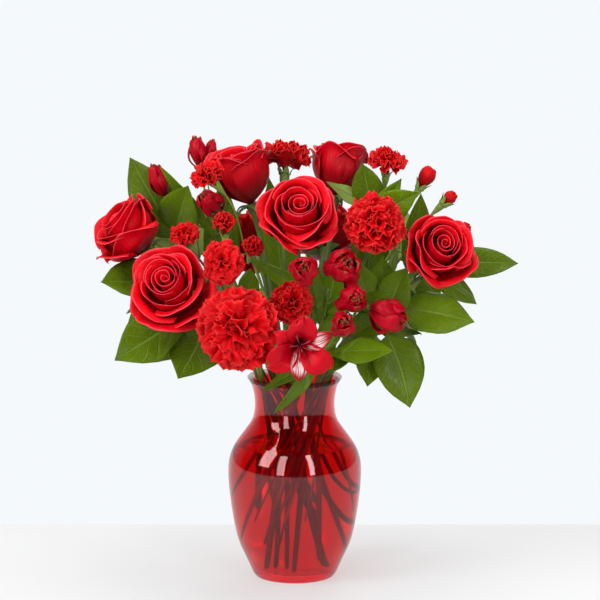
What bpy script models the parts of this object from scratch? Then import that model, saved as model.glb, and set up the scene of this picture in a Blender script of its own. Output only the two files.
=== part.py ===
"""Red roses and carnations with alstroemeria and salal leaves in a red glass vase.

The vase stands on the plane z = 0 with its axis on the Z axis. The bouquet's front faces -Y.
Every size below is in millimetres, and a mesh is turned into metres as it is made.
"""

import math

import bmesh
import bpy
import numpy as np
from mathutils import Vector

MM = 0.001
GAP = 0.3  # left between two pieces that touch

# The glass vase: radius and height, up its outside
VASE_OUTSIDE = (
    (36.5, 0.0), (39.0, 0.8), (40.6, 2.6), (42.8, 6.0), (48.5, 19.0), (54.5, 32.0), (58.6, 45.0),
    (62.6, 66.0), (65.6, 89.0), (66.5, 108.0), (65.0, 121.0), (60.0, 133.5), (49.8, 148.0),
    (42.6, 159.0), (39.8, 171.0), (40.2, 183.0), (42.6, 194.0), (45.6, 199.6), (47.0, 201.8),
)
VASE_RIM = ((46.6, 203.0), (44.8, 203.4), (43.0, 202.2))
VASE_WALL = 3.2
VASE_FLOOR = 9.0
VASE_SIDES = 32
NECK_HEIGHT = 171.0
RIM_HEIGHT = 203.0
CLEAR_CORE = 4.2  # radius left free of stems along the vase's axis
BEND_HEIGHT = 232.0  # stems run straight from their feet up to here, then curve out
BEND_REACH = 46.0  # farthest from the axis that a straight run ends
STEM_TWIST = 42.0  # degrees a stem lies round the neck from its flower

# Stems: radius and number of sides
ROSE_STEM = 2.8
CARNATION_STEM = 2.0
SPRAY_STEM = 1.8
ALSTROEMERIA_STEM = 2.3
SALAL_STEM = 1.6
STEM_SIDES = 8
TWIG_SIDES = 6
STEM_CLEARANCE = 1.0  # between two stems in the bunch

# Roses: centre, facing, radius, depth, True when the bloom is open
ROSES = {
    "left": ((-162, -20, 352), (-0.70, -0.22, 0.68), 36, 50, False),
    "front_left": ((-119, -70, 302), (-0.22, -0.86, 0.46), 42, 48, True),
    "upper_left": ((-52, 5, 402), (-0.30, -0.05, 0.95), 31, 56, False),
    "centre": ((3, -72, 373), (0.0, -0.78, 0.62), 41, 48, True),
    "top": ((43, 40, 403), (0.08, 0.30, 0.95), 29, 50, False),
    "right": ((139, -55, 337), (0.30, -0.82, 0.48), 37, 48, True),
    "back": ((34, 96, 330), (0.14, 0.86, 0.50), 38, 48, True),
}
ROSE_SEAT = 6.4
ROSE_HIP = 10.0

# Carnations: centre, facing, radius, depth
CARNATIONS = {
    "front": ((-54, -115, 271), (-0.08, -0.98, 0.10), 43, 42),
    "right": ((77, -74, 367), (0.05, -0.84, 0.54), 33, 40),
    "top": ((-9, 30, 418), (0.05, 0.40, 0.92), 27, 32),
    "low": ((-3, -84, 291), (0.15, -0.96, 0.20), 23, 34),
    "back": ((-46, 98, 322), (-0.24, 0.90, 0.38), 36, 40),
}
CARNATION_SEAT = 5.6
CARNATION_CALYX = 24.0

# Mini carnations on each branched stem: centre, facing, radius, depth
MINI_SPRAYS = {
    "left": {
        "end": (-47, -36, 341), "facing": (-0.35, -0.10, 0.93),
        "blooms": {
            "a": ((-84, -56, 411), (-0.56, -0.46, 0.69), 19, 24),
            "d": ((-68, -60, 365), (-0.05, -0.35, 0.93), 13, 24),
            "e": ((-40, -56, 341), (0.20, -0.70, 0.68), 12, 22),
        },
    },
    "front": {
        "end": (-80, -50, 306), "facing": (-0.35, -0.30, 0.88),
        "blooms": {
            "b": ((-107, -44, 351), (-0.10, -0.45, 0.88), 17, 24),
            "c": ((-68, -105, 334), (-0.10, -0.92, 0.38), 23, 26),
        },
    },
    "right": {
        "end": (107, 15, 349), "facing": (0.35, 0.05, 0.93),
        "blooms": {
            "f": ((91, 0, 417), (0.08, -0.30, 0.94), 21, 26),
            "g": ((130, 10, 401), (0.50, -0.10, 0.86), 9, 24),
            "h": ((153, 4, 381), (0.72, -0.05, 0.69), 7, 16),
            "i": ((167, 6, 347), (0.45, 0.05, 0.89), 8, 20),
        },
    },
}
MINI_SEAT = 4.2
MINI_CALYX = 16.0
PEDICEL = 1.1

# Alstroemeria on each stem: centre, facing, radius, depth
ALSTROEMERIAS = {
    "front": {
        "end": (30, -67, 253), "facing": (0.10, -0.55, 0.83),
        "blooms": {
            "a": ((5, -128, 257), (0.10, -0.98, -0.12), 30, 36),
            "b": ((46, -116, 275), (0.12, -0.92, 0.36), 12, 34),
            "d": ((90, -95, 281), (0.85, -0.40, -0.28), 18, 38),
        },
        "leaves": (
            (0, (94, -106, 248), 14, (0.1, -0.8, 0.6), 3),
            (7, (-32, -70, 201), 9, (-0.2, -1.0, 0.2), 2),
            (13, (-20, -64, 178), 9, (0.3, -1.0, 0.3), 8),
            (22, (46, -40, 281), 12, (0.0, -1.0, 0.1), 3),
        ),
    },
    "middle": {
        "end": (33, -54, 299), "facing": (0.15, -0.50, 0.85),
        "blooms": {
            "c": ((9, -116, 328), (0.0, -0.94, 0.34), 14, 32),
            "e": ((47, -91, 327), (0.25, -0.86, 0.42), 18, 34),
            "g": ((55, -98, 298), (0.30, -0.94, 0.08), 15, 34),
        },
        "leaves": (
            (0, (-42, -56, 330), 9, (0.0, -1.0, 0.2), 4),
            (6, (95, -82, 300), 12, (0.0, -0.8, 0.6), 3),
            (12, (28, -106, 311), 6, (0.5, -0.8, 0.3), 0),
            (20, (13, -64, 336), 12, (-0.1, -1.0, 0.1), 3),
            (28, (43, -36, 322), 14, (0.0, -1.0, 0.1), 3),
        ),
    },
    "back": {
        "end": (-84, 22, 362), "facing": (-0.25, 0.10, 0.96),
        "blooms": {
            "h": ((-96, 30, 423), (-0.15, -0.05, 0.98), 10, 32),
            "i": ((-83, 36, 424), (0.15, 0.10, 0.96), 6, 22),
            "j": ((-134, 10, 398), (-0.35, -0.10, 0.93), 10, 34),
            "k": ((-82, -24, 380), (-0.60, -0.50, 0.62), 12, 30),
        },
        "leaves": (
            (0, (-132, -14, 415), 7, (0.3, -1.0, 0.2), 2),
            (70, (-44, 0, 311), 11, (0.0, -1.0, 0.1), 3),
        ),
    },
}
ALSTROEMERIA_SEAT = 2.4
ALSTROEMERIA_OVARY = 5.0

# Salal sprigs: the stem's end and its direction there.
# Leaves: distance from the stem's end, tip, half width, side its upper face looks to, arch.
SALAL = {
    "upper_left": {
        "end": (-122, 24, 346), "facing": (-0.35, 0.10, 0.93),
        "leaves": (
            (4, (-104, -26, 397), 20, (-0.1, -1.0, 0.3), 3),
            (12, (-163, 20, 419), 21, (0.1, -1.0, 0.3), 3),
            (24, (-150, 66, 384), 18, (-0.4, 0.9, 0.3), 4),
            (38, (-164, 46, 320), 17, (-0.6, 0.5, 0.5), 4),
            (52, (-132, 52, 290), 13, (-0.5, 0.7, 0.5), 3),
            (66, (-112, 56, 336), 15, (-0.7, 0.6, 0.3), 3),
        ),
    },
    "lower_left": {
        "end": (-132, -4, 300), "facing": (-0.75, -0.05, 0.65),
        "leaves": (
            (3, (-188, -58, 307), 23, (0.1, -0.8, 0.6), 7),
            (13, (-165, -28, 251), 14, (-0.5, -0.8, 0.5), 4),
            (24, (-168, 22, 262), 16, (-0.6, 0.4, 0.6), 4),
            (34, (-131, -75, 232), 12, (-0.2, -0.9, 0.4), 4),
            (46, (-176, -50, 228), 28, (0.0, -1.0, 0.2), 2),
            (58, (-113, -77, 215), 28, (0.0, -1.0, 0.4), 6),
            (72, (-112, -8, 212), 17, (-0.8, -0.1, 0.6), 4),
        ),
    },
    "lower_right": {
        "end": (92, -52, 258), "facing": (0.75, -0.45, 0.45),
        "leaves": (
            (3, (112, -80, 187), 22, (0.15, -1.0, 0.3), 6),
            (12, (124, -50, 255), 8, (0.0, -0.5, 0.8), 2),
            (24, (71, -70, 206), 15, (0.1, -0.9, 0.4), 3),
            (34, (33, -72, 218), 9, (-0.2, -0.8, 0.5), 3),
            (44, (90, -54, 272), 14, (0.0, -0.9, 0.4), 4),
            (56, (84, -28, 212), 15, (0.6, -0.6, 0.5), 4),
        ),
    },
    "right_front": {
        "end": (104, -46, 282), "facing": (0.7, -0.35, 0.6),
        "leaves": (
            (2, (175, -60, 268), 21, (0.1, -0.8, 0.6), 4),
            (14, (109, -63, 322), 16, (-0.1, -0.9, 0.4), 4),
            (26, (86, -35, 329), 14, (0.0, -1.0, 0.2), 3),
            (36, (60, -52, 328), 14, (0.0, -1.0, 0.1), 3),
        ),
    },
    "right": {
        "end": (148, 2, 316), "facing": (0.8, -0.05, 0.6),
        "leaves": (
            (2, (221, 0, 316), 14, (0.0, -0.9, 0.5), 5),
            (14, (180, -5, 276), 11, (0.2, -0.9, 0.4), 3),
            (34, (124, -14, 388), 14, (0.1, -0.9, -0.3), 3),
            (28, (143, -16, 284), 13, (0.1, -1.0, 0.2), 3),
            (44, (150, 50, 300), 18, (0.5, 0.8, 0.4), 4),
            (58, (152, 28, 258), 17, (0.7, 0.1, 0.6), 4),
            (72, (122, 6, 224), 18, (0.8, -0.1, 0.6), 4),
            (86, (106, 44, 330), 16, (0.8, 0.4, 0.3), 3),
        ),
    },
    "top": {
        "end": (78, 2, 376), "facing": (0.25, -0.20, 0.95),
        "leaves": (
            (2, (31, -12, 399), 11, (0.0, 0.6, -0.8), 3),
            (6, (66, -10, 417), 14, (0.0, -1.0, 0.2), 3),
            (12, (121, -22, 390), 14, (0.0, -1.0, 0.2), 3),
            (20, (116, 46, 372), 15, (0.1, -0.9, 0.3), 3),
            (34, (60, 56, 352), 16, (0.1, 0.9, 0.3), 3),
            (24, (105, -10, 402), 10, (0.0, -1.0, 0.2), 3),
            (50, (104, 36, 350), 14, (0.8, 0.3, 0.4), 3),
        ),
    },
    "back_left": {
        "end": (-104, 74, 318), "facing": (-0.6, 0.40, 0.70),
        "leaves": (
            (3, (-156, 96, 322), 19, (-0.3, 0.9, 0.3), 5),
            (12, (-106, 108, 368), 18, (-0.2, 0.9, 0.3), 4),
            (26, (-122, 112, 258), 21, (-0.3, 0.8, 0.5), 6),
            (40, (-76, 116, 244), 18, (-0.1, 0.8, 0.5), 5),
            (52, (-72, 62, 392), 17, (0.2, -1.0, 0.2), 3),
            (66, (-124, 52, 238), 16, (-0.6, 0.3, 0.6), 4),
            (80, (-98, 32, 208), 17, (-0.8, 0.3, 0.5), 4),
            (92, (-62, 78, 212), 17, (-0.3, 0.8, 0.5), 4),
        ),
    },
    "back_centre": {
        "end": (-6, 92, 290), "facing": (0.0, 0.80, 0.60),
        "leaves": (
            (3, (-6, 140, 262), 19, (0.0, 0.8, 0.6), 5),
            (12, (-40, 122, 236), 17, (-0.2, 0.8, 0.5), 4),
            (22, (30, 122, 232), 18, (0.2, 0.8, 0.5), 5),
            (36, (2, 106, 306), 14, (0.0, 1.0, 0.2), 3),
            (50, (-26, 60, 394), 17, (0.0, -1.0, 0.2), 3),
            (66, (-4, 92, 208), 18, (0.0, 0.8, 0.6), 4),
        ),
    },
    "back_right": {
        "end": (108, 66, 312), "facing": (0.6, 0.40, 0.70),
        "leaves": (
            (3, (170, 84, 318), 19, (0.3, 0.9, 0.3), 5),
            (12, (108, 104, 364), 17, (0.2, 0.9, 0.2), 4),
            (26, (134, 104, 254), 21, (0.3, 0.8, 0.5), 6),
            (40, (84, 112, 246), 18, (0.1, 0.8, 0.5), 5),
            (52, (84, 72, 384), 17, (0.1, -1.0, 0.2), 3),
            (66, (128, 46, 236), 16, (0.6, 0.3, 0.6), 4),
            (80, (94, 32, 206), 17, (0.8, 0.3, 0.5), 4),
            (92, (64, 76, 212), 17, (0.3, 0.8, 0.5), 4),
        ),
    },
}
LEAF_PLATE = 1.1
LEAF_STATIONS = (
    (0.10, 0.10), (0.28, 0.80), (0.52, 1.0), (0.75, 0.76), (0.92, 0.32), (1.0, 0.06),
)

# Colour, roughness and metallic value of each material
LOOKS = {
    "red_glass": ((0.62, 0.01, 0.03), 0.05, 0.0),
    "rose_petal": ((0.60, 0.004, 0.015), 0.55, 0.0),
    "carnation_petal": ((0.75, 0.02, 0.015), 0.65, 0.0),
    "alstroemeria_petal": ((0.42, 0.004, 0.012), 0.45, 0.0),
    "stem_green": ((0.12, 0.22, 0.04), 0.50, 0.0),
    "leaf_green": ((0.06, 0.14, 0.02), 0.40, 0.0),
}


def unit(vector):
    """The vector at length one."""
    vector = np.asarray(vector, float)
    return vector / np.linalg.norm(vector)


def side_axes(axis):
    """Two directions square to the axis and to each other."""
    axis = unit(axis)
    helper = np.array((0.0, 0.0, 1.0)) if abs(axis[2]) < 0.9 else np.array((0.0, 1.0, 0.0))
    first = unit(np.cross(helper, axis))
    return first, np.cross(axis, first)


def circle(centre, axis, radii, turn=0.0):
    """A ring of points about the axis, one for each radius."""
    across, along = side_axes(axis)
    angles = [turn + 2 * math.pi * i / len(radii) for i in range(len(radii))]
    return [
        np.asarray(centre, float) + r * (math.cos(a) * across + math.sin(a) * along)
        for r, a in zip(radii, angles)
    ]


def bezier(start, control, end, t):
    """A point on a quadratic curve."""
    return (1 - t) ** 2 * start + 2 * t * (1 - t) * control + t * t * end


def cubic(start, first, second, end, t):
    """A point on a cubic curve."""
    return (1 - t) * bezier(start, first, second, t) + t * bezier(first, second, end, t)


def make_material(name):
    """A plain material with the part's colour, roughness and metallic value."""
    colour, roughness, metallic = LOOKS[name]
    material = bpy.data.materials.new(name)
    material.use_nodes = True
    shader = material.node_tree.nodes["Principled BSDF"]
    shader.inputs["Base Color"].default_value = (*colour, 1.0)
    shader.inputs["Roughness"].default_value = roughness
    shader.inputs["Metallic"].default_value = metallic
    return material


class Skin:
    """A closed mesh that grows ring by ring, and branches out of its own side faces."""

    def __init__(self):
        self.bm = bmesh.new()

    def ring(self, points):
        """New vertices at the points."""
        return [self.bm.verts.new(Vector(p) * MM) for p in points]

    def bridge(self, low, high):
        """Faces between two rings of equal count."""
        count = len(low)
        faces = []
        for i in range(count):
            j = (i + 1) % count
            faces.append(self.bm.faces.new((low[i], low[j], high[j], high[i])))
        return faces

    def widen(self, low, high):
        """Faces between a ring and one of twice its count."""
        count = len(low)
        for i in range(count):
            j = (i + 1) % count
            middle = high[2 * i + 1]
            self.bm.faces.new((low[i], middle, high[2 * i]))
            self.bm.faces.new((low[i], low[j], middle))
            self.bm.faces.new((low[j], high[(2 * i + 2) % len(high)], middle))

    def close(self, ring, point=None):
        """A cap over the ring, flat or up to a point."""
        if point is None:
            self.bm.faces.new(ring)
            return
        top = self.bm.verts.new(Vector(point) * MM)
        for i, vertex in enumerate(ring):
            self.bm.faces.new((vertex, ring[(i + 1) % len(ring)], top))

    def finish(self, name, material):
        """The mesh as a named object with outward faces and smooth shading."""
        bmesh.ops.recalc_face_normals(self.bm, faces=self.bm.faces)
        mesh = bpy.data.meshes.new(name)
        self.bm.to_mesh(mesh)
        self.bm.free()
        mesh.shade_smooth()
        mesh.set_sharp_from_angle(angle=math.radians(50))
        mesh.materials.append(material)
        piece = bpy.data.objects.new(name, mesh)
        bpy.context.scene.collection.objects.link(piece)
        return piece


def vase_inside():
    """The inner outline, a wall's thickness in from the outer one, from the rim down."""
    outside = np.array(VASE_OUTSIDE)
    slopes = np.gradient(outside, axis=0)
    normals = np.stack((-slopes[:, 1], slopes[:, 0]), axis=1)
    normals /= np.linalg.norm(normals, axis=1)[:, None]
    inside = outside + VASE_WALL * normals
    kept = [tuple(p) for p in inside if VASE_FLOOR + 8.0 < p[1] < RIM_HEIGHT - 5.0]
    return kept[::-1] + [(38.5, VASE_FLOOR + 0.9), (33.0, VASE_FLOOR)]


def inner_radius(height):
    """The vase's inner radius at a height, and at the rim above it."""
    outline = np.array([VASE_RIM[-1]] + vase_inside())[::-1]
    return np.interp(height, outline[:, 1], outline[:, 0])


def build_vase(material):
    """The turned glass: outside, rounded rim, inside and a thick floor."""
    skin = Skin()
    outline = list(VASE_OUTSIDE) + list(VASE_RIM) + vase_inside()
    rings = [
        skin.ring(circle((0, 0, z), (0, 0, 1), [r] * VASE_SIDES)) for r, z in outline
    ]
    for low, high in zip(rings, rings[1:]):
        skin.bridge(low, high)
    skin.close(rings[0])
    skin.close(rings[-1])
    return skin.finish("vase", material)


def segment_gaps(tops, feet):
    """Closest points between every two stems: pair indices, places along each, difference."""
    first, second = np.triu_indices(len(tops), 1)
    d1 = feet[first] - tops[first]
    d2 = feet[second] - tops[second]
    r = tops[first] - tops[second]
    a = (d1 * d1).sum(1)
    e = (d2 * d2).sum(1)
    b = (d1 * d2).sum(1)
    c = (d1 * r).sum(1)
    f = (d2 * r).sum(1)
    s = np.clip((b * f - c * e) / np.maximum(a * e - b * b, 1e-9), 0, 1)
    t = np.clip((b * s + f) / e, 0, 1)
    s = np.clip((b * t - c) / a, 0, 1)
    apart = (tops[first] + s[:, None] * d1) - (tops[second] + t[:, None] * d2)
    return first, second, s, t, apart


def foot_of(aim, crossing, radius):
    """The lowest place on the line through the neck where the cut end still clears the glass."""
    direction = unit(aim - crossing)
    heights = np.arange(NECK_HEIGHT, VASE_FLOOR, -0.1)
    for height in heights:
        centre = aim + direction * ((height - aim[2]) / direction[2])
        end = np.array(circle(centre, direction, [radius] * STEM_SIDES))
        beside = inner_radius(end[:, 2]) - np.hypot(end[:, 0], end[:, 1])
        if beside.min() < 0.65 or end[:, 2].min() < VASE_FLOOR + 0.5:
            return previous
        previous = centre
    return previous


def gather(stems):
    """Spreads the stems in the neck: each straight run clears the others and the glass.

    Returns where each run ends above the rim and where it crosses the neck.
    """
    aims = np.array([bend_point(end, facing) for end, facing, _ in stems.values()])
    radii = np.array([radius for _, _, radius in stems.values()])
    azimuth = np.arctan2(aims[:, 1], aims[:, 0]) - math.radians(STEM_TWIST)
    reach = np.clip(np.hypot(aims[:, 0], aims[:, 1]) * 0.64, 9, 29)
    crossing = np.stack((reach * np.cos(azimuth), reach * np.sin(azimuth)), axis=1)
    count = len(aims)
    axis_top = np.array(((0.0, 0.0, RIM_HEIGHT),))
    axis_foot = np.array(((0.0, 0.0, VASE_FLOOR),))
    all_radii = np.append(radii, CLEAR_CORE - STEM_CLEARANCE)
    for _ in range(600):
        feet = wall_points(aims, crossing)
        tops = np.vstack((aims, axis_top))
        ends = np.vstack((feet, axis_foot))
        first, second, s, t, apart = segment_gaps(tops, ends)
        distance = np.linalg.norm(apart, axis=1)
        short = all_radii[first] + all_radii[second] + STEM_CLEARANCE - distance
        push = np.where(short > 0, 0.5 * short, 0)[:, None] * apart[:, :2]
        push /= np.maximum(np.hypot(apart[:, 0], apart[:, 1]), 1e-6)[:, None]
        push[second == count] *= 2
        for index, run, step in ((first, s, push), (second, t, -push)):
            inner = index < count
            shift_runs(aims, crossing, tops, ends, index[inner], run[inner], step[inner])
        for height in (160.0, NECK_HEIGHT, 184.0, RIM_HEIGHT):
            crossing = keep_within(aims, crossing, radii, height)
    return {name: (aim, point) for name, aim, point in zip(stems, aims, crossing)}


def bend_point(end, facing):
    """Where a stem leaves its straight run above the rim and curves out to its end."""
    back = np.asarray(end, float) - unit(facing) * 30
    height = min(BEND_HEIGHT, back[2] - 6)
    reach = math.hypot(back[0], back[1]) * (height - 150) / (back[2] - 150)
    scale = min(reach, BEND_REACH) / math.hypot(back[0], back[1])
    return np.array((back[0] * scale, back[1] * scale, height))


def shift_runs(aims, crossing, tops, ends, index, run, step):
    """Moves each run sideways by its step, at the place along the run where it is too near."""
    height = tops[index, 2] + run * (ends[index, 2] - tops[index, 2])
    share = (tops[index, 2] - height) / (tops[index, 2] - NECK_HEIGHT)
    at_top = np.where(share < 1, (1 - share) / ((1 - share) ** 2 + share**2), 0)
    at_neck = np.where(share < 1, share / ((1 - share) ** 2 + share**2), 1 / np.maximum(share, 1))
    np.add.at(aims[:, :2], index, 0.5 * at_top[:, None] * step)
    np.add.at(crossing, index, 0.5 * at_neck[:, None] * step)


def wall_points(aims, crossing):
    """Where each run through the neck meets the wall or the floor of the vase."""
    heights = np.arange(NECK_HEIGHT - 20, VASE_FLOOR + 2, -2.0)
    share = (aims[:, 2, None] - heights) / (aims[:, 2, None] - NECK_HEIGHT)
    across = crossing - aims[:, :2]
    x = aims[:, 0, None] + share * across[:, 0, None]
    y = aims[:, 1, None] + share * across[:, 1, None]
    outside = np.hypot(x, y) > inner_radius(heights) - 2.0
    outside[:, -1] = True
    last = np.argmax(outside, axis=1)
    rows = np.arange(len(aims))
    return np.stack((x[rows, last], y[rows, last], heights[last]), axis=1)


def keep_within(aims, crossing, radii, height):
    """Moves the crossings inwards where a line leaves the vase's inside at a height."""
    share = (aims[:, 2] - height) / (aims[:, 2] - NECK_HEIGHT)
    place = aims[:, :2] + share[:, None] * (crossing - aims[:, :2])
    most = inner_radius(height) - 1.35 * radii - 0.8
    distance = np.hypot(place[:, 0], place[:, 1])
    over = np.maximum(distance - most, 0)
    return crossing - (over / np.maximum(distance, 1e-6) / share)[:, None] * place


def stem_path(run, radius, end, facing):
    """A stem's centre line from its foot: straight to above the rim, then curved to its end."""
    aim, crossing = run
    neck = np.array((crossing[0], crossing[1], NECK_HEIGHT))
    foot = foot_of(aim, neck, radius)
    end = np.asarray(end, float)
    reach = 0.38 * np.linalg.norm(end - aim)
    first = aim + unit(aim - foot) * reach
    second = end - unit(facing) * reach
    return [foot] + [cubic(aim, first, second, end, t) for t in np.linspace(0, 1, 13)]


def along(path, distance):
    """The point and direction of a path at a distance back from its end."""
    points = np.array(path)[::-1]
    lengths = np.linalg.norm(np.diff(points, axis=0), axis=1)
    starts = np.concatenate(((0,), np.cumsum(lengths)))
    index = int(np.clip(np.searchsorted(starts, distance, "right") - 1, 0, len(lengths) - 1))
    share = (distance - starts[index]) / lengths[index]
    point = points[index] + share * (points[index + 1] - points[index])
    return point, unit(points[index] - points[index + 1])


def tube_rings(skin, path, distances, radius, sides):
    """Rings on a path at distances back from its end, foot first, and the faces between them."""
    rings = []
    sleeves = []
    last = along(path, max(distances))[1]
    offsets = circle((0.0, 0.0, 0.0), last, [radius] * sides)
    for distance in sorted(distances, reverse=True):
        point, direction = along(path, distance)
        offsets = carry(offsets, last, direction)
        last = direction
        rings.append(skin.ring([point + o for o in offsets]))
        if len(rings) > 1:
            sleeves.append(skin.bridge(rings[-2], rings[-1]))
    skin.close(rings[0])
    return rings, sleeves


def path_length(path):
    """The length of a path."""
    return float(np.linalg.norm(np.diff(np.array(path), axis=0), axis=1).sum())


def carry(offsets, old, new):
    """Offsets turned from one direction to another by the least turn."""
    turn = Vector(old).rotation_difference(Vector(new))
    return [np.array(turn @ Vector(o)) for o in offsets]


def open_side(skin, sleeve, direction):
    """Takes out the side face that looks most in a direction and returns its corners."""
    middle = sum((f.calc_center_median() for f in sleeve), Vector()) / len(sleeve)
    face = max(sleeve, key=lambda f: (f.calc_center_median() - middle).dot(Vector(direction)))
    corners = list(face.verts)
    skin.bm.faces.remove(face)
    sleeve.remove(face)
    return corners


def offsets_of(corners, direction, radius):
    """The corners' places around a direction, brought to a radius."""
    points = [np.array(v.co) / MM for v in corners]
    centre = sum(points) / len(points)
    flat = [p - centre - np.dot(p - centre, direction) * np.asarray(direction) for p in points]
    return centre, [radius * unit(o) for o in flat]


def grow_twig(skin, corners, points, radius):
    """A square twig from an opened face along points, and its last ring and direction."""
    direction = unit(points[0] - sum(np.array(v.co) / MM for v in corners) / len(corners))
    _, offsets = offsets_of(corners, direction, radius)
    ring = corners
    for index, point in enumerate(points):
        onward = points[min(index + 1, len(points) - 1)] - points[max(index - 1, 0)]
        new = unit(onward) if len(points) > 1 else direction
        offsets = carry(offsets, direction, new)
        direction = new
        following = skin.ring([point + o for o in offsets])
        skin.bridge(ring, following)
        ring = following
    return ring, direction, offsets


def leaf_frame(base, tip, face, arch):
    """The control point of a leaf's midrib, its width direction and its upper side."""
    length = unit(tip - base)
    across = unit(np.cross(length, face))
    upper = np.cross(across, length)
    return (base + tip) / 2 + arch * upper, across, upper


def grow_leaf(skin, corners, base, tip, half_width, face, arch):
    """A thin leaf plate from an opened stem face to its tip."""
    control, across, upper = leaf_frame(base, tip, np.asarray(face, float), arch)
    ring = corners
    places = [np.array(v.co) / MM for v in corners]
    centre = sum(places) / 4
    signs = [(1, 1), (-1, 1), (-1, -1), (1, -1)]
    orders = [signs[k:] + signs[:k] for k in range(4)]
    orders += [o[::-1] for o in orders]
    section = min(
        orders,
        key=lambda o: sum(
            np.linalg.norm(unit(p - centre) - unit(a * across + b * upper))
            for p, (a, b) in zip(places, o)
        ),
    )
    for t, width in LEAF_STATIONS:
        point = bezier(base, control, tip, t)
        wide = max(half_width * width, 0.6)
        thick = LEAF_PLATE / 2 if t < 0.9 else LEAF_PLATE / 3
        following = skin.ring([point + a * wide * across + b * thick * upper for a, b in section])
        skin.bridge(ring, following)
        ring = following
    skin.close(ring)


def turned_bloom(name, seat, axis, outline, sides, lobes, material):
    """A closed bloom turned about its axis: height, radius and lobe depth of each ring."""
    skin = Skin()
    axis = unit(axis)
    rings = []
    for height, radius, depth in outline:
        radii = [
            radius * (1 + depth * math.cos(lobes * 2 * math.pi * i / sides)) for i in range(sides)
        ]
        rings.append(skin.ring(circle(seat + height * axis, axis, radii)))
    for low, high in zip(rings, rings[1:]):
        skin.bridge(low, high)
    skin.close(rings[0])
    top = outline[-1][0]
    skin.close(rings[-1], seat + (top - 0.03 * top) * axis)
    return skin.finish(name, material)


def rose_outline(radius, depth, is_open):
    """An open rose is a low dome of petals, a younger one a goblet."""
    if is_open:
        shares = (
            (0.0, 0.0, 0), (0.10, 0.44, 0), (0.28, 0.74, 0), (0.50, 0.93, 0.02), (0.70, 1.0, 0.04),
            (0.80, 0.90, 0.04), (0.92, 0.62, 0.02), (1.0, 0.36, 0),
        )
    else:
        shares = (
            (0.0, 0.0, 0), (0.10, 0.52, 0), (0.32, 0.80, 0), (0.62, 0.88, 0.02), (0.90, 1.0, 0.04),
            (0.97, 0.92, 0.04), (0.94, 0.62, 0), (0.98, 0.34, 0),
        )
    return [(h * depth, max(r * radius, ROSE_SEAT), lobe) for h, r, lobe in shares]


def carnation_outline(radius, depth, seat):
    """Ruffled petals over a narrow neck."""
    shares = (
        (0.0, 0.0, 0), (0.14, 0.36, 0), (0.32, 0.78, 0.03), (0.52, 1.0, 0.05), (0.72, 0.90, 0.05),
        (0.90, 0.60, 0.04), (1.0, 0.26, 0),
    )
    return [(h * depth, max(r * radius, seat), lobe) for h, r, lobe in shares]


def bud_outline(radius, depth, seat):
    """A closed bud, widest near its top."""
    shares = ((0.0, 0.0), (0.25, 0.78), (0.60, 1.0), (0.85, 0.84), (1.0, 0.40))
    return [(h * depth, max(r * radius, seat), 0) for h, r in shares]


def trumpet_outline(radius, depth, seat):
    """A funnel of six petals with a star-shaped mouth."""
    shares = (
        (0.0, 0.0, 0), (0.25, 0.26, 0), (0.60, 0.58, 0.05), (0.90, 0.96, 0.14), (1.0, 0.92, 0.18),
        (0.86, 0.46, 0.05),
    )
    return [(h * depth, max(r * radius, seat), lobe) for h, r, lobe in shares]


def seat_of(centre, facing, depth):
    """The middle of a bloom's lower end."""
    return np.asarray(centre, float) - unit(facing) * depth / 2


def cup_rings(skin, last, seat, axis, length, stem, top):
    """The green cup under a bloom, from the stem's last ring up to just below the seat."""
    shares = ((0.72, 0.45), (0.35, 0.92), (0.0, 1.0))
    _, around = offsets_of(last, axis, 1.0)
    for back, share in shares:
        centre = seat - axis * (GAP + back * length)
        radius = stem + share * (top - stem)
        ring = skin.ring([centre + radius * o for o in around])
        skin.bridge(last, ring)
        last = ring
    skin.close(last)


def flower_stem(name, path, seat, axis, radius, cup, material):
    """One stem with its green cup, whose length and top radius are given."""
    skin = Skin()
    length, top = cup
    distances = stem_stations(path, (0.78, 0.54, 0.28))
    rings, _ = tube_rings(skin, path, distances, radius, STEM_SIDES)
    cup_rings(skin, rings[-1], seat, axis, length, radius, top)
    return skin.finish(name, material)


def stem_stations(path, shares):
    """Distances back from a path's end: its foot, where it starts to curve, shares of that."""
    total = path_length(path)
    curve = total - float(np.linalg.norm(path[1] - path[0]))
    return [total, curve] + [curve * share for share in shares] + [0.0]


def twig_cup(skin, ring, offsets, direction, end, seat, axis, length, radius, top):
    """An eight-sided cup on the end of a square twig."""
    offsets = carry(offsets, direction, axis)
    start = [unit(o) for o in offsets]
    around = []
    for i, this in enumerate(start):
        around.append(this)
        around.append(unit(this + start[(i + 1) % len(start)]))
    high = skin.ring([end + radius * 1.1 * o for o in around])
    skin.widen(ring, high)
    last = high
    for back, share in ((0.66, 0.55), (0.30, 0.95), (0.0, 1.0)):
        centre = seat - axis * (GAP + back * length)
        wide = radius + share * (top - radius)
        following = skin.ring([centre + wide * o for o in around])
        skin.bridge(last, following)
        last = following
    skin.close(last)


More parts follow.
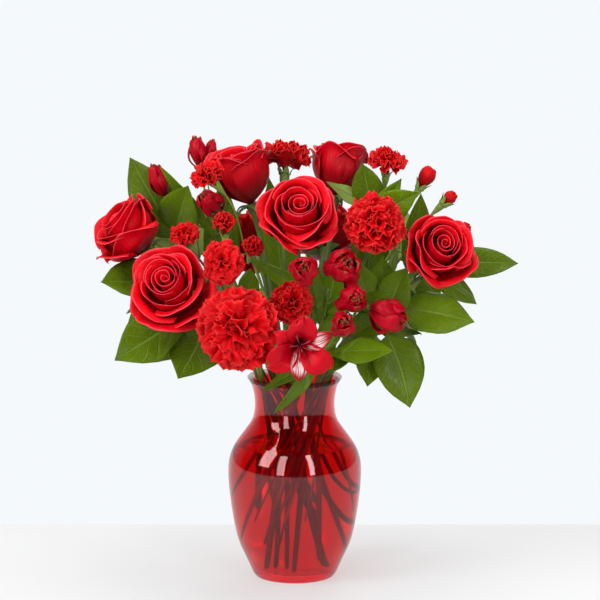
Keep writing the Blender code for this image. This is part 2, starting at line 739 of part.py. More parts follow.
def branched_stem(name, path, blooms, leaves, radius, cup, material):
    """A stem whose side twigs each carry one bloom on a green cup, with its own leaves."""
    skin = Skin()
    forks = [3.0 + 6.5 * k for k in range(len(blooms))]
    joints = forks + [leaf[0] + 3.0 + 6.5 * len(blooms) for leaf in leaves]
    distances = set(stem_stations(path, (0.8, 0.6)))
    for joint in joints:
        distances |= {joint - 1.3, joint + 1.3}
    distances = without_crowding(distances, joints, 1.3)
    rings, sleeves = tube_rings(skin, path, distances, radius, TWIG_SIDES)
    skin.close(rings[-1], along(path, 0.0)[0] + along(path, 0.0)[1] * 0.8)
    order = sorted(blooms.items(), key=lambda item: item[1][0][2])
    for joint, (_, bloom) in zip(sorted(forks, reverse=True), order):
        sleeve = sleeves[distances.index(joint + 1.3)]
        grow_pedicel(skin, sleeve, along(path, joint)[0], bloom, cup)
    for joint, leaf in zip(joints[len(forks):], leaves):
        sleeve = sleeves[distances.index(joint + 1.3)]
        attach_leaf(skin, sleeve, along(path, joint)[0], leaf)
    return skin.finish(name, material)


def without_crowding(distances, joints, half):
    """The distances, highest first, without plain ones that fall inside or close to a joint."""
    kept = []
    for distance in distances:
        nearest = min(abs(distance - joint) for joint in joints)
        if distance == 0.0 or nearest > half + 1.5 or abs(nearest - half) < 1e-6:
            kept.append(distance)
    return sorted(kept, reverse=True)


def grow_pedicel(skin, sleeve, origin, bloom, cup):
    """A thin twig from the stem to the cup under a bloom."""
    centre, facing, _, depth = bloom
    length, top = cup
    axis = unit(facing)
    seat = seat_of(centre, facing, depth)
    end = seat - axis * (GAP + length)
    reach = np.linalg.norm(end - origin)
    corners = open_side(skin, sleeve, unit(end - origin))
    start = sum(np.array(v.co) / MM for v in corners) / 4
    outward = unit(unit(start - origin) + unit(end - origin))
    first = start + outward * 3.0
    control = end - axis * 0.42 * reach
    points = [first]
    points += [bezier(first, control, end, t) for t in (0.3, 0.55, 0.8, 1.0)]
    ring, direction, offsets = grow_twig(skin, corners, points[:-1], PEDICEL)
    twig_cup(skin, ring, offsets, direction, end, seat, axis, length, PEDICEL, top)


def attach_leaf(skin, sleeve, origin, leaf):
    """A leaf on a stem: its plate starts just off the stem's side."""
    _, tip, half_width, face, arch = leaf
    tip = np.asarray(tip, float)
    corners = open_side(skin, sleeve, unit(tip - origin))
    start = sum(np.array(v.co) / MM for v in corners) / 4
    grow_leaf(skin, corners, start, tip, half_width, face, arch)


def salal_sprig(name, path, leaves, material):
    """A woody stem with its leaves."""
    skin = Skin()
    distances = set(stem_stations(path, (0.75, 0.5, 0.25)))
    for leaf in leaves:
        distances |= {leaf[0] - 1.5, leaf[0] + 1.5}
    distances = without_crowding(distances, [leaf[0] for leaf in leaves], 1.5)
    rings, sleeves = tube_rings(skin, path, distances, SALAL_STEM, TWIG_SIDES)
    skin.close(rings[-1], along(path, 0.0)[0] + along(path, 0.0)[1] * 0.8)
    for leaf in leaves:
        sleeve = sleeves[distances.index(leaf[0] + 1.5)]
        attach_leaf(skin, sleeve, along(path, leaf[0])[0], leaf)
    return skin.finish(name, material)


def single_ends(flowers, cup):
    """For each single flower: where its stem ends, its bloom's seat and its facing."""
    ends = {}
    for name, flower in flowers.items():
        centre, facing, _, depth = flower[:4]
        axis = unit(facing)
        seat = seat_of(centre, facing, depth)
        ends[name] = (seat - axis * (GAP + cup), seat, axis)
    return ends


def plan_stems():
    """Where every stem's straight run lies, found by gather()."""
    stems = {}
    for name, (end, _, axis) in single_ends(ROSES, ROSE_HIP).items():
        stems["rose_" + name] = (end, axis, ROSE_STEM)
    for name, (end, _, axis) in single_ends(CARNATIONS, CARNATION_CALYX).items():
        stems["carnation_" + name] = (end, axis, CARNATION_STEM)
    groups = (
        ("mini_spray_", MINI_SPRAYS, SPRAY_STEM),
        ("alstroemeria_", ALSTROEMERIAS, ALSTROEMERIA_STEM),
        ("salal_", SALAL, SALAL_STEM),
    )
    for title, group, radius in groups:
        for name, stem in group.items():
            stems[title + name] = (stem["end"], stem["facing"], radius)
    return gather(stems)


def build_roses(runs, petal, green):
    """Each rose's bloom and its stem."""
    ends = single_ends(ROSES, ROSE_HIP)
    for name, (_, _, radius, depth, is_open) in ROSES.items():
        end, seat, axis = ends[name]
        outline = rose_outline(radius, depth, is_open)
        turned_bloom(f"rose_bloom_{name}", seat, axis, outline, 12, 3, petal)
        path = stem_path(runs[f"rose_{name}"], ROSE_STEM, end, axis)
        cup = (ROSE_HIP, ROSE_SEAT)
        flower_stem(f"rose_stem_{name}", path, seat, axis, ROSE_STEM, cup, green)


def build_carnations(runs, petal, green):
    """Each large carnation's bloom and its stem."""
    ends = single_ends(CARNATIONS, CARNATION_CALYX)
    for name, (_, _, radius, depth) in CARNATIONS.items():
        end, seat, axis = ends[name]
        outline = carnation_outline(radius, depth, CARNATION_SEAT)
        turned_bloom(f"carnation_bloom_{name}", seat, axis, outline, 16, 8, petal)
        path = stem_path(runs[f"carnation_{name}"], CARNATION_STEM, end, axis)
        cup = (CARNATION_CALYX, CARNATION_SEAT)
        flower_stem(f"carnation_stem_{name}", path, seat, axis, CARNATION_STEM, cup, green)


def build_minis(runs, petal, green):
    """The mini carnations and their branched stems."""
    for name, spray in MINI_SPRAYS.items():
        path = stem_path(runs[f"mini_spray_{name}"], SPRAY_STEM, spray["end"], spray["facing"])
        cup = (MINI_CALYX, MINI_SEAT)
        blooms = spray["blooms"]
        branched_stem(f"mini_spray_stem_{name}", path, blooms, (), SPRAY_STEM, cup, green)
        for letter, (centre, facing, radius, depth) in blooms.items():
            seat = seat_of(centre, facing, depth)
            is_bud = radius < 10
            outline = (bud_outline if is_bud else carnation_outline)(radius, depth, MINI_SEAT)
            sides = 8 if is_bud else 12
            title = f"mini_carnation_{letter}"
            turned_bloom(title, seat, facing, outline, sides, sides // 2, petal)


def build_alstroemerias(runs, petal, green):
    """The alstroemeria flowers and their branched leafy stems."""
    radius = ALSTROEMERIA_STEM
    cup = (ALSTROEMERIA_OVARY, ALSTROEMERIA_SEAT)
    for name, stem in ALSTROEMERIAS.items():
        path = stem_path(runs[f"alstroemeria_{name}"], radius, stem["end"], stem["facing"])
        title = f"alstroemeria_stem_{name}"
        branched_stem(title, path, stem["blooms"], stem["leaves"], radius, cup, green)
        for letter, (centre, facing, wide, depth) in stem["blooms"].items():
            seat = seat_of(centre, facing, depth)
            is_bud = wide < 11
            shape = bud_outline if is_bud else trumpet_outline
            outline = shape(wide, depth, ALSTROEMERIA_SEAT)
            sides = 8 if is_bud else 12
            turned_bloom(f"alstroemeria_{letter}", seat, facing, outline, sides, 6, petal)


def build_salal(runs, green):
    """The leafy sprigs."""
    for name, sprig in SALAL.items():
        path = stem_path(runs[f"salal_{name}"], SALAL_STEM, sprig["end"], sprig["facing"])
        salal_sprig(f"salal_{name}", path, sprig["leaves"], green)


def main():
    """Clears the scene and builds every piece."""
    for thing in list(bpy.data.objects):
        bpy.data.objects.remove(thing)
    looks = {name: make_material(name) for name in LOOKS}
    build_vase(looks["red_glass"])
    runs = plan_stems()
    build_roses(runs, looks["rose_petal"], looks["stem_green"])
    build_carnations(runs, looks["carnation_petal"], looks["stem_green"])
    build_minis(runs, looks["carnation_petal"], looks["stem_green"])
    build_alstroemerias(runs, looks["alstroemeria_petal"], looks["stem_green"])
    build_salal(runs, looks["leaf_green"])


main()
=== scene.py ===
"""Roses and carnations in a vase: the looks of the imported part, laid out as a Blender add-on.

Every flower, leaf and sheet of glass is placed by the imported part's own nodes. Lengths are metres.
"""

import math
from collections import namedtuple

import bmesh
import bpy
import numpy as np
from bpy.props import FloatProperty, FloatVectorProperty, IntProperty, PointerProperty
from bpy.types import Operator, Panel, PropertyGroup
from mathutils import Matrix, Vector


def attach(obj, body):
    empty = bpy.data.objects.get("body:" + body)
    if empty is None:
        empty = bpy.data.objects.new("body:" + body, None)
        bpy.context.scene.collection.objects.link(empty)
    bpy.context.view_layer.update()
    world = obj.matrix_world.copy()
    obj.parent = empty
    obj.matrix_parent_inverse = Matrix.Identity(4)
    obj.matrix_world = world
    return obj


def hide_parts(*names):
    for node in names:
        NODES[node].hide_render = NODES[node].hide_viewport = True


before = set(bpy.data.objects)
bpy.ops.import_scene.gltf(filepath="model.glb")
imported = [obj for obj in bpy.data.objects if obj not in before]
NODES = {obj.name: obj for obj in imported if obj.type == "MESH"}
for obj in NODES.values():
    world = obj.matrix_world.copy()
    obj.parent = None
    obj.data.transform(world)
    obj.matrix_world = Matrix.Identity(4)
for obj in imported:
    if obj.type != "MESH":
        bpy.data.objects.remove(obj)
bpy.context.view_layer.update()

bl_info = {
    "name": "Roses and carnations in a vase",
    "version": (1, 0, 0),
    "blender": (4, 5, 0),
    "location": "View3D > Sidebar > Bouquet",
    "description": "Petals, leaves, glass and water around the packed part's frame",
    "category": "Object",
}

MM = 0.001
SAME_PLACE = 1e-5  # points no further apart than this are one point
TOUCHING = 1.2 * MM
WATER_BITE = 0.1 * MM  # how deep the water's skin lies in the glass
SEEDS = {  # where each kind's draws start
    "rose": 100, "carnation": 200, "mini": 300, "alstroemeria": 400, "salal": 500,
    "alstroemeria_stem": 800,
}
LEAF_SEEDS = 20  # from one sprig's seed to the next one's

# How finely things are made: columns and rows of a sheet, or sides all round
ROSE_GRID, HEART_GRID, TEPAL_GRID, LEAF_GRID = (22, 18), (126, 12), (11, 16), (13, 26)
SEPAL_GRID, TOOTH_GRID = (5, 9), (5, 6)
CARNATION_ROWS = 12
VASE_SIDES, WATER_SIDES, THREAD_SIDES = 112, 96, 6
SHARP = math.radians(50)

ROSES = ("left", "front_left", "upper_left", "centre", "top", "right", "back")
CARNATIONS = ("front", "right", "top", "low", "back")
MINIS = {"left": "ade", "front": "bc", "right": "fghi"}
MINI_BUDS = "ghi"
ALSTROEMERIAS = {"front": "abd", "middle": "ceg", "back": "hijk"}
ALSTROEMERIA_BUDS = "hij"
OPEN_ALSTROEMERIA = "a"
MARKED_TEPALS = (1, 5)  # of the open one

# Each leaf's tip, in millimetres, and the way that its upper side looks
SALAL_LEAVES = {
    "upper_left": (
        (-104, -26, 397, -0.1, -1, 0.3), (-163, 20, 419, 0.1, -1, 0.3),
        (-150, 66, 384, -0.4, 0.9, 0.3), (-164, 46, 320, -0.6, 0.5, 0.5),
        (-132, 52, 290, -0.5, 0.7, 0.5), (-112, 56, 336, -0.7, 0.6, 0.3),
    ),
    "lower_left": (
        (-188, -58, 307, 0.1, -0.8, 0.6), (-165, -28, 251, -0.5, -0.8, 0.5),
        (-168, 22, 262, -0.6, 0.4, 0.6), (-131, -75, 232, -0.2, -0.9, 0.4),
        (-176, -50, 228, 0, -1, 0.2), (-113, -77, 215, 0, -1, 0.4),
        (-112, -8, 212, -0.8, -0.1, 0.6),
    ),
    "lower_right": (
        (112, -80, 187, 0.15, -1, 0.3), (124, -50, 255, 0, -0.5, 0.8),
        (71, -70, 206, 0.1, -0.9, 0.4), (33, -72, 218, -0.2, -0.8, 0.5),
        (90, -54, 272, 0, -0.9, 0.4), (84, -28, 212, 0.6, -0.6, 0.5),
    ),
    "right_front": (
        (175, -60, 268, 0.1, -0.8, 0.6), (109, -63, 322, -0.1, -0.9, 0.4),
        (86, -35, 329, 0, -1, 0.2), (60, -52, 328, 0, -1, 0.1),
    ),
    "right": (
        (221, 0, 316, 0, -0.9, 0.5), (180, -5, 276, 0.2, -0.9, 0.4),
        (124, -14, 388, 0.1, -0.9, -0.3), (143, -16, 284, 0.1, -1, 0.2),
        (150, 50, 300, 0.5, 0.8, 0.4), (152, 28, 258, 0.7, 0.1, 0.6), (122, 6, 224, 0.8, -0.1, 0.6),
        (106, 44, 330, 0.8, 0.4, 0.3),
    ),
    "top": (
        (31, -12, 399, 0, 0.6, -0.8), (66, -10, 417, 0, -1, 0.2), (121, -22, 390, 0, -1, 0.2),
        (116, 46, 372, 0.1, -0.9, 0.3), (60, 56, 352, 0.1, 0.9, 0.3), (105, -10, 402, 0, -1, 0.2),
        (104, 36, 350, 0.8, 0.3, 0.4),
    ),
    "back_left": (
        (-156, 96, 322, -0.3, 0.9, 0.3), (-106, 108, 368, -0.2, 0.9, 0.3),
        (-122, 112, 258, -0.3, 0.8, 0.5), (-76, 116, 244, -0.1, 0.8, 0.5),
        (-72, 62, 392, 0.2, -1, 0.2), (-124, 52, 238, -0.6, 0.3, 0.6),
        (-98, 32, 208, -0.8, 0.3, 0.5), (-62, 78, 212, -0.3, 0.8, 0.5),
    ),
    "back_centre": (
        (-6, 140, 262, 0, 0.8, 0.6), (-40, 122, 236, -0.2, 0.8, 0.5), (30, 122, 232, 0.2, 0.8, 0.5),
        (2, 106, 306, 0, 1, 0.2), (-26, 60, 394, 0, -1, 0.2), (-4, 92, 208, 0, 0.8, 0.6),
    ),
    "back_right": (
        (170, 84, 318, 0.3, 0.9, 0.3), (108, 104, 364, 0.2, 0.9, 0.2),
        (134, 104, 254, 0.3, 0.8, 0.5), (84, 112, 246, 0.1, 0.8, 0.5), (84, 72, 384, 0.1, -1, 0.2),
        (128, 46, 236, 0.6, 0.3, 0.6), (94, 32, 206, 0.8, 0.3, 0.5), (64, 76, 212, 0.3, 0.8, 0.5),
    ),
}
ALSTROEMERIA_LEAVES = {
    "front": (
        (94, -106, 248, 0.1, -0.8, 0.6), (-32, -70, 201, -0.2, -1, 0.2),
        (-20, -64, 178, 0.3, -1, 0.3), (46, -40, 281, 0, -1, 0.1),
    ),
    "middle": (
        (-42, -56, 330, 0, -1, 0.2), (95, -82, 300, 0, -0.8, 0.6), (28, -106, 311, 0.5, -0.8, 0.3),
        (13, -64, 336, -0.1, -1, 0.1), (43, -36, 322, 0, -1, 0.1),
    ),
    "back": (
        (-132, -14, 415, 0.3, -1, 0.2), (-44, 0, 311, 0, -1, 0.1),
    ),
}
LEAF_STATIONS = (1.0, 0.92, 0.75, 0.52, 0.28, 0.10)  # where the frame's leaf plates have points

# Outlines of leaves and petals: how far along, and how wide there
SALAL_OUTLINE = (
    (0.0, 0.05), (0.05, 0.10), (0.09, 0.44), (0.15, 0.78), (0.23, 1.0), (0.33, 1.10), (0.45, 1.12),
    (0.57, 1.05), (0.69, 0.88), (0.80, 0.63), (0.89, 0.36), (0.95, 0.16), (1.0, 0.01),
)
ALSTROEMERIA_OUTLINE = (
    (0.0, 0.12), (0.15, 0.40), (0.35, 0.82), (0.52, 1.0), (0.70, 0.88), (0.85, 0.55), (0.95, 0.2),
    (1.0, 0.02),
)
OUTER_TEPAL = (
    (0.0, 0.45), (0.25, 0.60), (0.50, 0.84), (0.70, 1.0), (0.82, 0.96), (0.91, 0.72), (0.97, 0.36),
    (1.0, 0.06),
)
BUD_PETAL = ((0.0, 0.40), (0.30, 0.95), (0.60, 1.0), (0.85, 0.85), (0.96, 0.60), (1.0, 0.40))
INNER_TEPAL = (
    (0.0, 0.40), (0.25, 0.50), (0.50, 0.74), (0.68, 0.84), (0.82, 0.70), (0.92, 0.40), (1.0, 0.03),
)

# Whorls of a rose's petals from the inside: how many, reach, height, roll and half width in degrees
OPEN_WHORLS = (
    (3, 0.39, 0.98, 22, 108), (3, 0.60, 0.93, 60, 88), (4, 0.80, 0.85, 105, 70),
    (5, 1.0, 0.63, 140, 58),
)
CLOSED_WHORLS = (
    (3, 0.42, 0.97, 15, 104), (3, 0.62, 1.00, 32, 92), (4, 0.84, 0.99, 62, 74),
    (5, 1.0, 0.94, 95, 60),
)
# The open roses, and how far right of and above its middle each one's heart lies, in its radii
HEART_SHIFTS = {
    "front_left": (-0.10, 0.14), "centre": (0.04, 0.12), "right": (0.01, 0.06),
    "back": (0.03, 0.08), "left": (0.0, 0.03),
}
GOLDEN_TURN = 2.39996  # from one petal of a carnation to the next
WHORL_TURN = 2.4  # from one whorl of a rose to the next
ROSE_WALL = 0.68  # how far up a rose petal its lip starts
STALK_REACH = 0.86  # how far up a leaf its stalk and rib go
POLLEN_CASE = (0.09, 0.63, 0.9, 0.99, 0.9, 0.63, 0.09)  # radii along it in millimetres

# What is set for each look and shape
# deep sets the painted shade at a petal's base; edge and rim set where the painted highlight along
# its edge starts and how strong it is
PetalLook = namedtuple(
    "PetalLook", "deep tone mottle edge rim veins relief smooth rough sheen through"
)
LeafLook = namedtuple("LeafLook", "slant veins net contrast sunk smooth rough")
LeafStyle = namedtuple("LeafStyle", "outline fold ripple ripples twist quilt stalk")
Habit = namedtuple("Habit", "petals widest ruffle columns slot cup cup_radius teeth")
Place = namedtuple("Place", "seat axes radius depth")

ROSE_BACK = PetalLook(
    deep=0.24, tone=0.55, mottle=45.0, edge=0.955, rim=0.55, veins=13.0, relief=0.0022,
    smooth=0.32, rough=0.5, sheen=0.12, through=0.09,
)
ROSE_VELVET = ROSE_BACK._replace(deep=0.26, rim=0.75, smooth=0.42, rough=0.6, sheen=0.18)
CARNATION_LOOK = PetalLook(
    deep=0.34, tone=0.8, mottle=70.0, edge=0.94, rim=0.5, veins=22.0, relief=0.0012,
    smooth=0.42, rough=0.6, sheen=0.04, through=0.12,
)
SALAL_UPPER = LeafLook(
    slant=2.1, veins=9.0, net=0.45, contrast=0.6, sunk=1.0, smooth=0.17, rough=0.31
)
SALAL_LOWER = SALAL_UPPER._replace(net=0.5, contrast=0.45, sunk=-1.0, smooth=0.55, rough=0.7)
YOUNG_LEAF = SALAL_UPPER._replace(slant=0.2, veins=1.0, net=0.1, contrast=0.3)
SALAL_STYLE = LeafStyle(
    SALAL_OUTLINE, fold=0.30, ripple=0.07, ripples=4.0, twist=0.25, quilt=1.0, stalk=0.9 * MM
)
YOUNG_STYLE = LeafStyle(
    ALSTROEMERIA_OUTLINE, fold=0.35, ripple=0.12, ripples=3.0, twist=0.9, quilt=0.0,
    stalk=0.7 * MM,
)

# The camera of the photograph
CAMERA_ELEVATION = math.radians(9.7)
CAMERA_DISTANCE = 3.3
CAMERA_TARGET = (0.0053, 0.0, 0.2794)
CAMERA_LENS = 200.0
TABLE_BACK = 0.213  # the table's far edge behind the vase
LAMP_AIM = (0.0, 0.0, 0.25)
BLACK = (0.0, 0.0, 0.0)


# Settings

def srgb(red, green, blue):
    """A colour given as it shows on a screen, 0 to 255, as linear light."""
    shares = [c / 255 for c in (red, green, blue)]
    return tuple(s / 12.92 if s <= 0.04045 else ((s + 0.055) / 1.055) ** 2.4 for s in shares)


def colour(name, description, *shown):
    """A colour setting."""
    return FloatVectorProperty(
        name=name, description=description, subtype="COLOR", size=3, min=0.0, max=1.0,
        default=srgb(*shown),
    )


def length(name, description, default):
    """A length setting in metres."""
    return FloatProperty(
        name=name, description=description, default=default, min=0.0, subtype="DISTANCE",
        unit="LENGTH",
    )


def count(name, description, default):
    """A number of things."""
    return IntProperty(name=name, description=description, default=default, min=6)


def power(name, description, default):
    """A lamp's power."""
    return FloatProperty(name=name, description=description, default=default, unit="POWER")


class GlassSettings(PropertyGroup):
    """The red glass vase and its water."""

    tint: colour("Glass tint", "What one wall of the glass lets through", 224, 9, 26)
    ior: FloatProperty(name="Glass IOR", description="Refraction of the glass", default=1.5)
    water_level: length("Water level", "Height of the water above the table", 0.134)


class RoseSettings(PropertyGroup):
    """The roses."""

    inside: colour("Inner side", "The velvety upper side of a petal", 232, 0, 20)
    outside: colour("Outer side", "The smoother back of a petal", 210, 0, 24)
    # The rim colour is a painted highlight along a petal's thin edge
    rim: colour("Rim", "The thin edge of a petal", 248, 76, 92)
    thickness: length("Thickness", "Thickness of a petal", 0.0005)


class CarnationSettings(PropertyGroup):
    """The large and the mini carnations."""

    petal: colour("Petal", "The body of a petal", 216, 0, 12)
    # The rim colour is a painted highlight along a petal's frilled edge
    rim: colour("Rim", "The frilled edge of a petal", 250, 62, 56)
    petals: count("Petals", "Petals in a large one", 38)
    mini_petals: count("Mini petals", "Petals in a mini one", 22)
    ruffle: FloatProperty(name="Ruffle", description="Depth of the folds", default=0.115)
    thickness: length("Thickness", "Thickness of a petal", 0.0004)


class AlstroemeriaSettings(PropertyGroup):
    """The alstroemerias."""

    petal: colour("Petal", "The inner side of a petal", 178, 0, 22)
    back: colour("Back", "The outer side of a petal", 160, 0, 22)
    patch: colour("Patch", "The pale patch of the two marked petals", 240, 196, 196)
    fleck: colour("Fleck", "The dashes on the patch", 132, 4, 24)
    tip: colour("Tip", "The green tip of a petal", 150, 92, 44)
    thickness: length("Thickness", "Thickness of a petal", 0.0005)


class FoliageSettings(PropertyGroup):
    """Leaves and stems."""

    leaf: colour("Leaf", "The glossy upper side of a salal leaf", 84, 108, 0)
    underside: colour("Underside", "The paler lower side", 122, 142, 58)
    vein: colour("Vein", "The veins of a salal leaf", 122, 150, 60)
    young_leaf: colour("Young leaf", "The soft alstroemeria leaves", 88, 114, 6)
    stem: colour("Stem", "Rose and carnation stems", 96, 122, 46)
    spray: colour("Spray stem", "Mini carnation stems and their cups", 134, 158, 62)
    thickness: length("Leaf thickness", "Thickness of a leaf", 0.0005)


class StageSettings(PropertyGroup):
    """Floor, backdrop and lamps, which aren't part of the object."""

    floor: colour("Floor", "The pale table", 231, 231, 231)
    backdrop: colour("Backdrop", "What is behind the table", 245, 249, 252)
    key: power("Key", "The lamp at the upper left", 56.0)
    strips: power("Strips", "The two tall front lamps", 30.0)
    top: power("Top", "The lamp above", 38.0)
    back: power("Back", "The weak lamp behind", 14.0)


class BouquetSettings(PropertyGroup):
    """Every setting of the arrangement."""

    glass: PointerProperty(type=GlassSettings)
    rose: PointerProperty(type=RoseSettings)
    carnation: PointerProperty(type=CarnationSettings)
    alstroemeria: PointerProperty(type=AlstroemeriaSettings)
    foliage: PointerProperty(type=FoliageSettings)
    stage: PointerProperty(type=StageSettings)


# Shapes

def unit(vector):
    """The vector at length one."""
    vector = np.asarray(vector, float)
    return vector / np.linalg.norm(vector)


def smooth(low, high, x):
    """0 below low, 1 above high and an even curve in between."""
    t = np.clip((x - low) / (high - low), 0.0, 1.0)
    return t * t * (3 - 2 * t)


def any_turn(rng):
    """An angle left to chance."""
    return rng.uniform(0, 6.3)


def axes_about(axis):
    """Three directions square to each other, the last one the axis."""
    axis = unit(axis)
    helper = (0.0, 0.0, 1.0) if abs(axis[2]) < 0.9 else (0.0, 1.0, 0.0)
    first = unit(np.cross(helper, axis))
    return np.array((first, np.cross(axis, first), axis))


def waves(across, along, rng):
    """An uneven surface between about -1 and 1, from four waves in chance directions."""
    total = 0.0
    for _ in range(4):
        a, b = rng.uniform(-5, 5, 2)
        total = total + np.sin(a * across + b * along + any_turn(rng))
    return total / 2


def wave(across, low, high, rng):
    """One wave, of chance length between two limits."""
    return np.sin(rng.uniform(low, high) * across + any_turn(rng))


def curve_point(base, control, tip, t):
    """Points of a quadratic curve."""
    t = np.asarray(t, float)[..., None]
    return (1 - t) ** 2 * base + 2 * t * (1 - t) * control + t * t * tip


def round_path(points, steps):
    """A smooth path through points."""
    points = np.asarray(points, float)
    ends = np.concatenate((2 * points[:1] - points[1:2], points, 2 * points[-1:] - points[-2:-1]))
    path = []
    for a, b, c, d in zip(ends, ends[1:], ends[2:], ends[3:]):
        for t in np.arange(steps) / steps:
            square, cube = 2 * a - 5 * b + 4 * c - d, 3 * b - a - 3 * c + d
            path.append(0.5 * (2 * b + (c - a) * t + square * t * t + cube * t ** 3))
    return np.array([*path, points[-1]])


def all_round(sides):
    """Even angles all round."""
    return np.linspace(0, math.tau, sides, endpoint=False)


def tube(path, radii, sides=8):
    """A tube's rings along a path, which don't twist."""
    directions = np.gradient(path, axis=0)
    directions /= np.linalg.norm(directions, axis=1)[:, None]
    side = axes_about(directions[0])[0]
    rings = []
    for point, direction, radius in zip(path, directions, radii):
        side = unit(side - np.dot(side, direction) * direction)
        circle = about(radius, all_round(sides), 0.0)[:, :2]
        rings.append(point + circle @ np.array((side, np.cross(direction, side))))
    return np.array(rings)


def sheet_places(columns, rows, start=-1):
    """Places across a sheet, from start to 1, and along it, from 0 to 1."""
    return np.linspace(start, 1, columns)[None, :], np.linspace(0, 1, rows)[:, None]


def triples(first, second, third):
    """Three values for each point of a sheet."""
    return np.stack(np.broadcast_arrays(first, second, third), axis=-1)


def about(radius, angle, height):
    """Points from their distance round an axis."""
    return triples(radius * np.cos(angle), radius * np.sin(angle), height)


def each(stems):
    """Each stem's name with each letter of the blooms that it carries."""
    return [(stem, letter) for stem, letters in stems.items() for letter in letters]


def linked(name, data):
    """An object made of data and put into the scene."""
    made = bpy.data.objects.new(name, data)
    bpy.context.scene.collection.objects.link(made)
    return made


def rounded(piece):
    """Rounds a coarse shape."""
    rounder = piece.modifiers.new("round", "SUBSURF")
    rounder.levels = rounder.render_levels = 2


class Sheets:
    """Gathers the sheets and closed bodies of one piece. The three values of a point tell the
    material where it lies across and along its petal, and the petal's own tone."""

    def __init__(self):
        self.points, self.values, self.faces, self.looks = [], [], [], []
        self.total = 0

    def grid(self, points, values, look=0, wrap=False):
        """Rows of points made into one sheet, or a tube where it wraps round."""
        rows, columns = points.shape[:2]
        index = np.arange(rows * columns).reshape(rows, columns) + self.total
        if wrap:
            index = np.concatenate((index, index[:, :1]), axis=1)
        corners = (index[:-1, :-1], index[:-1, 1:], index[1:, 1:], index[1:, :-1])
        faces = np.stack(corners, axis=-1).reshape(-1, 4)
        self.points.append(points.reshape(-1, 3))
        self.values.append(values.reshape(-1, 3))
        self.faces.extend(faces.tolist())
        self.looks.extend([look] * len(faces))
        self.total += rows * columns

    def body(self, rings, look=0):
        """A closed body from rings of points, which counts its height as along."""
        start, sides = self.total, rings.shape[1]
        self.grid(rings, triples(0.0, rings[..., 2] / rings[..., 2].max(), 0.5), look, wrap=True)
        self.faces.append(list(range(start + sides - 1, start - 1, -1)))
        self.faces.append(list(range(self.total - sides, self.total)))
        self.looks.extend([look, look])

    def piece(self, name, materials, slot, thickness=0.0, replaces=(), shell_look=0):
        """The gathered mesh as a piece that rides on the root body. The other side of a thick
        sheet has the look that comes shell_look later."""
        mesh = bpy.data.meshes.new(name)
        mesh.from_pydata(np.concatenate(self.points).tolist(), [], self.faces)
        values = mesh.attributes.new("petal", "FLOAT_VECTOR", "POINT")
        values.data.foreach_set("vector", np.concatenate(self.values).astype(np.float32).ravel())
        mesh.polygons.foreach_set("material_index", np.array(self.looks, np.int32))
        for material in materials:
            mesh.materials.append(material)
        mesh.shade_smooth()
        piece = linked(name, mesh)
        if thickness:
            solid = piece.modifiers.new("thickness", "SOLIDIFY")
            solid.thickness = thickness
            solid.offset = -1.0
            solid.material_offset = shell_look
        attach(piece, "root")
        if replaces:
            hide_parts(*replaces)
        return piece


def welded(node):
    """A node's mesh with its doubled points made one."""
    mesh = bmesh.new()
    mesh.from_mesh(NODES[node].data)
    bmesh.ops.remove_doubles(mesh, verts=mesh.verts, dist=SAME_PLACE)
    mesh.verts.index_update()
    return mesh


def points_of(node):
    """A node's points, each once."""
    mesh = welded(node)
    points = np.array([v.co[:] for v in mesh.verts])
    mesh.free()
    return points


def bloom_place(bloom, stem):
    """Where a bloom sits on its stem's cup, which way it faces and how large it is."""
    points = points_of(bloom)
    gaps = np.linalg.norm(points[:, None] - points_of(stem)[None], axis=2).min(axis=1)
    seat = points[gaps < TOUCHING].mean(axis=0)
    axes = axes_about(points.mean(axis=0) - seat)
    local = (points - seat) @ axes.T
    return Place(seat, axes, np.linalg.norm(local[:, :2], axis=1).max(), local[:, 2].max())


def placed(place, points):
    """Points around a bloom's own axis, brought to where it is."""
    return place.seat + points @ place.axes


# Materials

def scaled(shown, share):
    """A colour made darker or lighter."""
    return tuple(min(1.0, share * c) for c in shown)


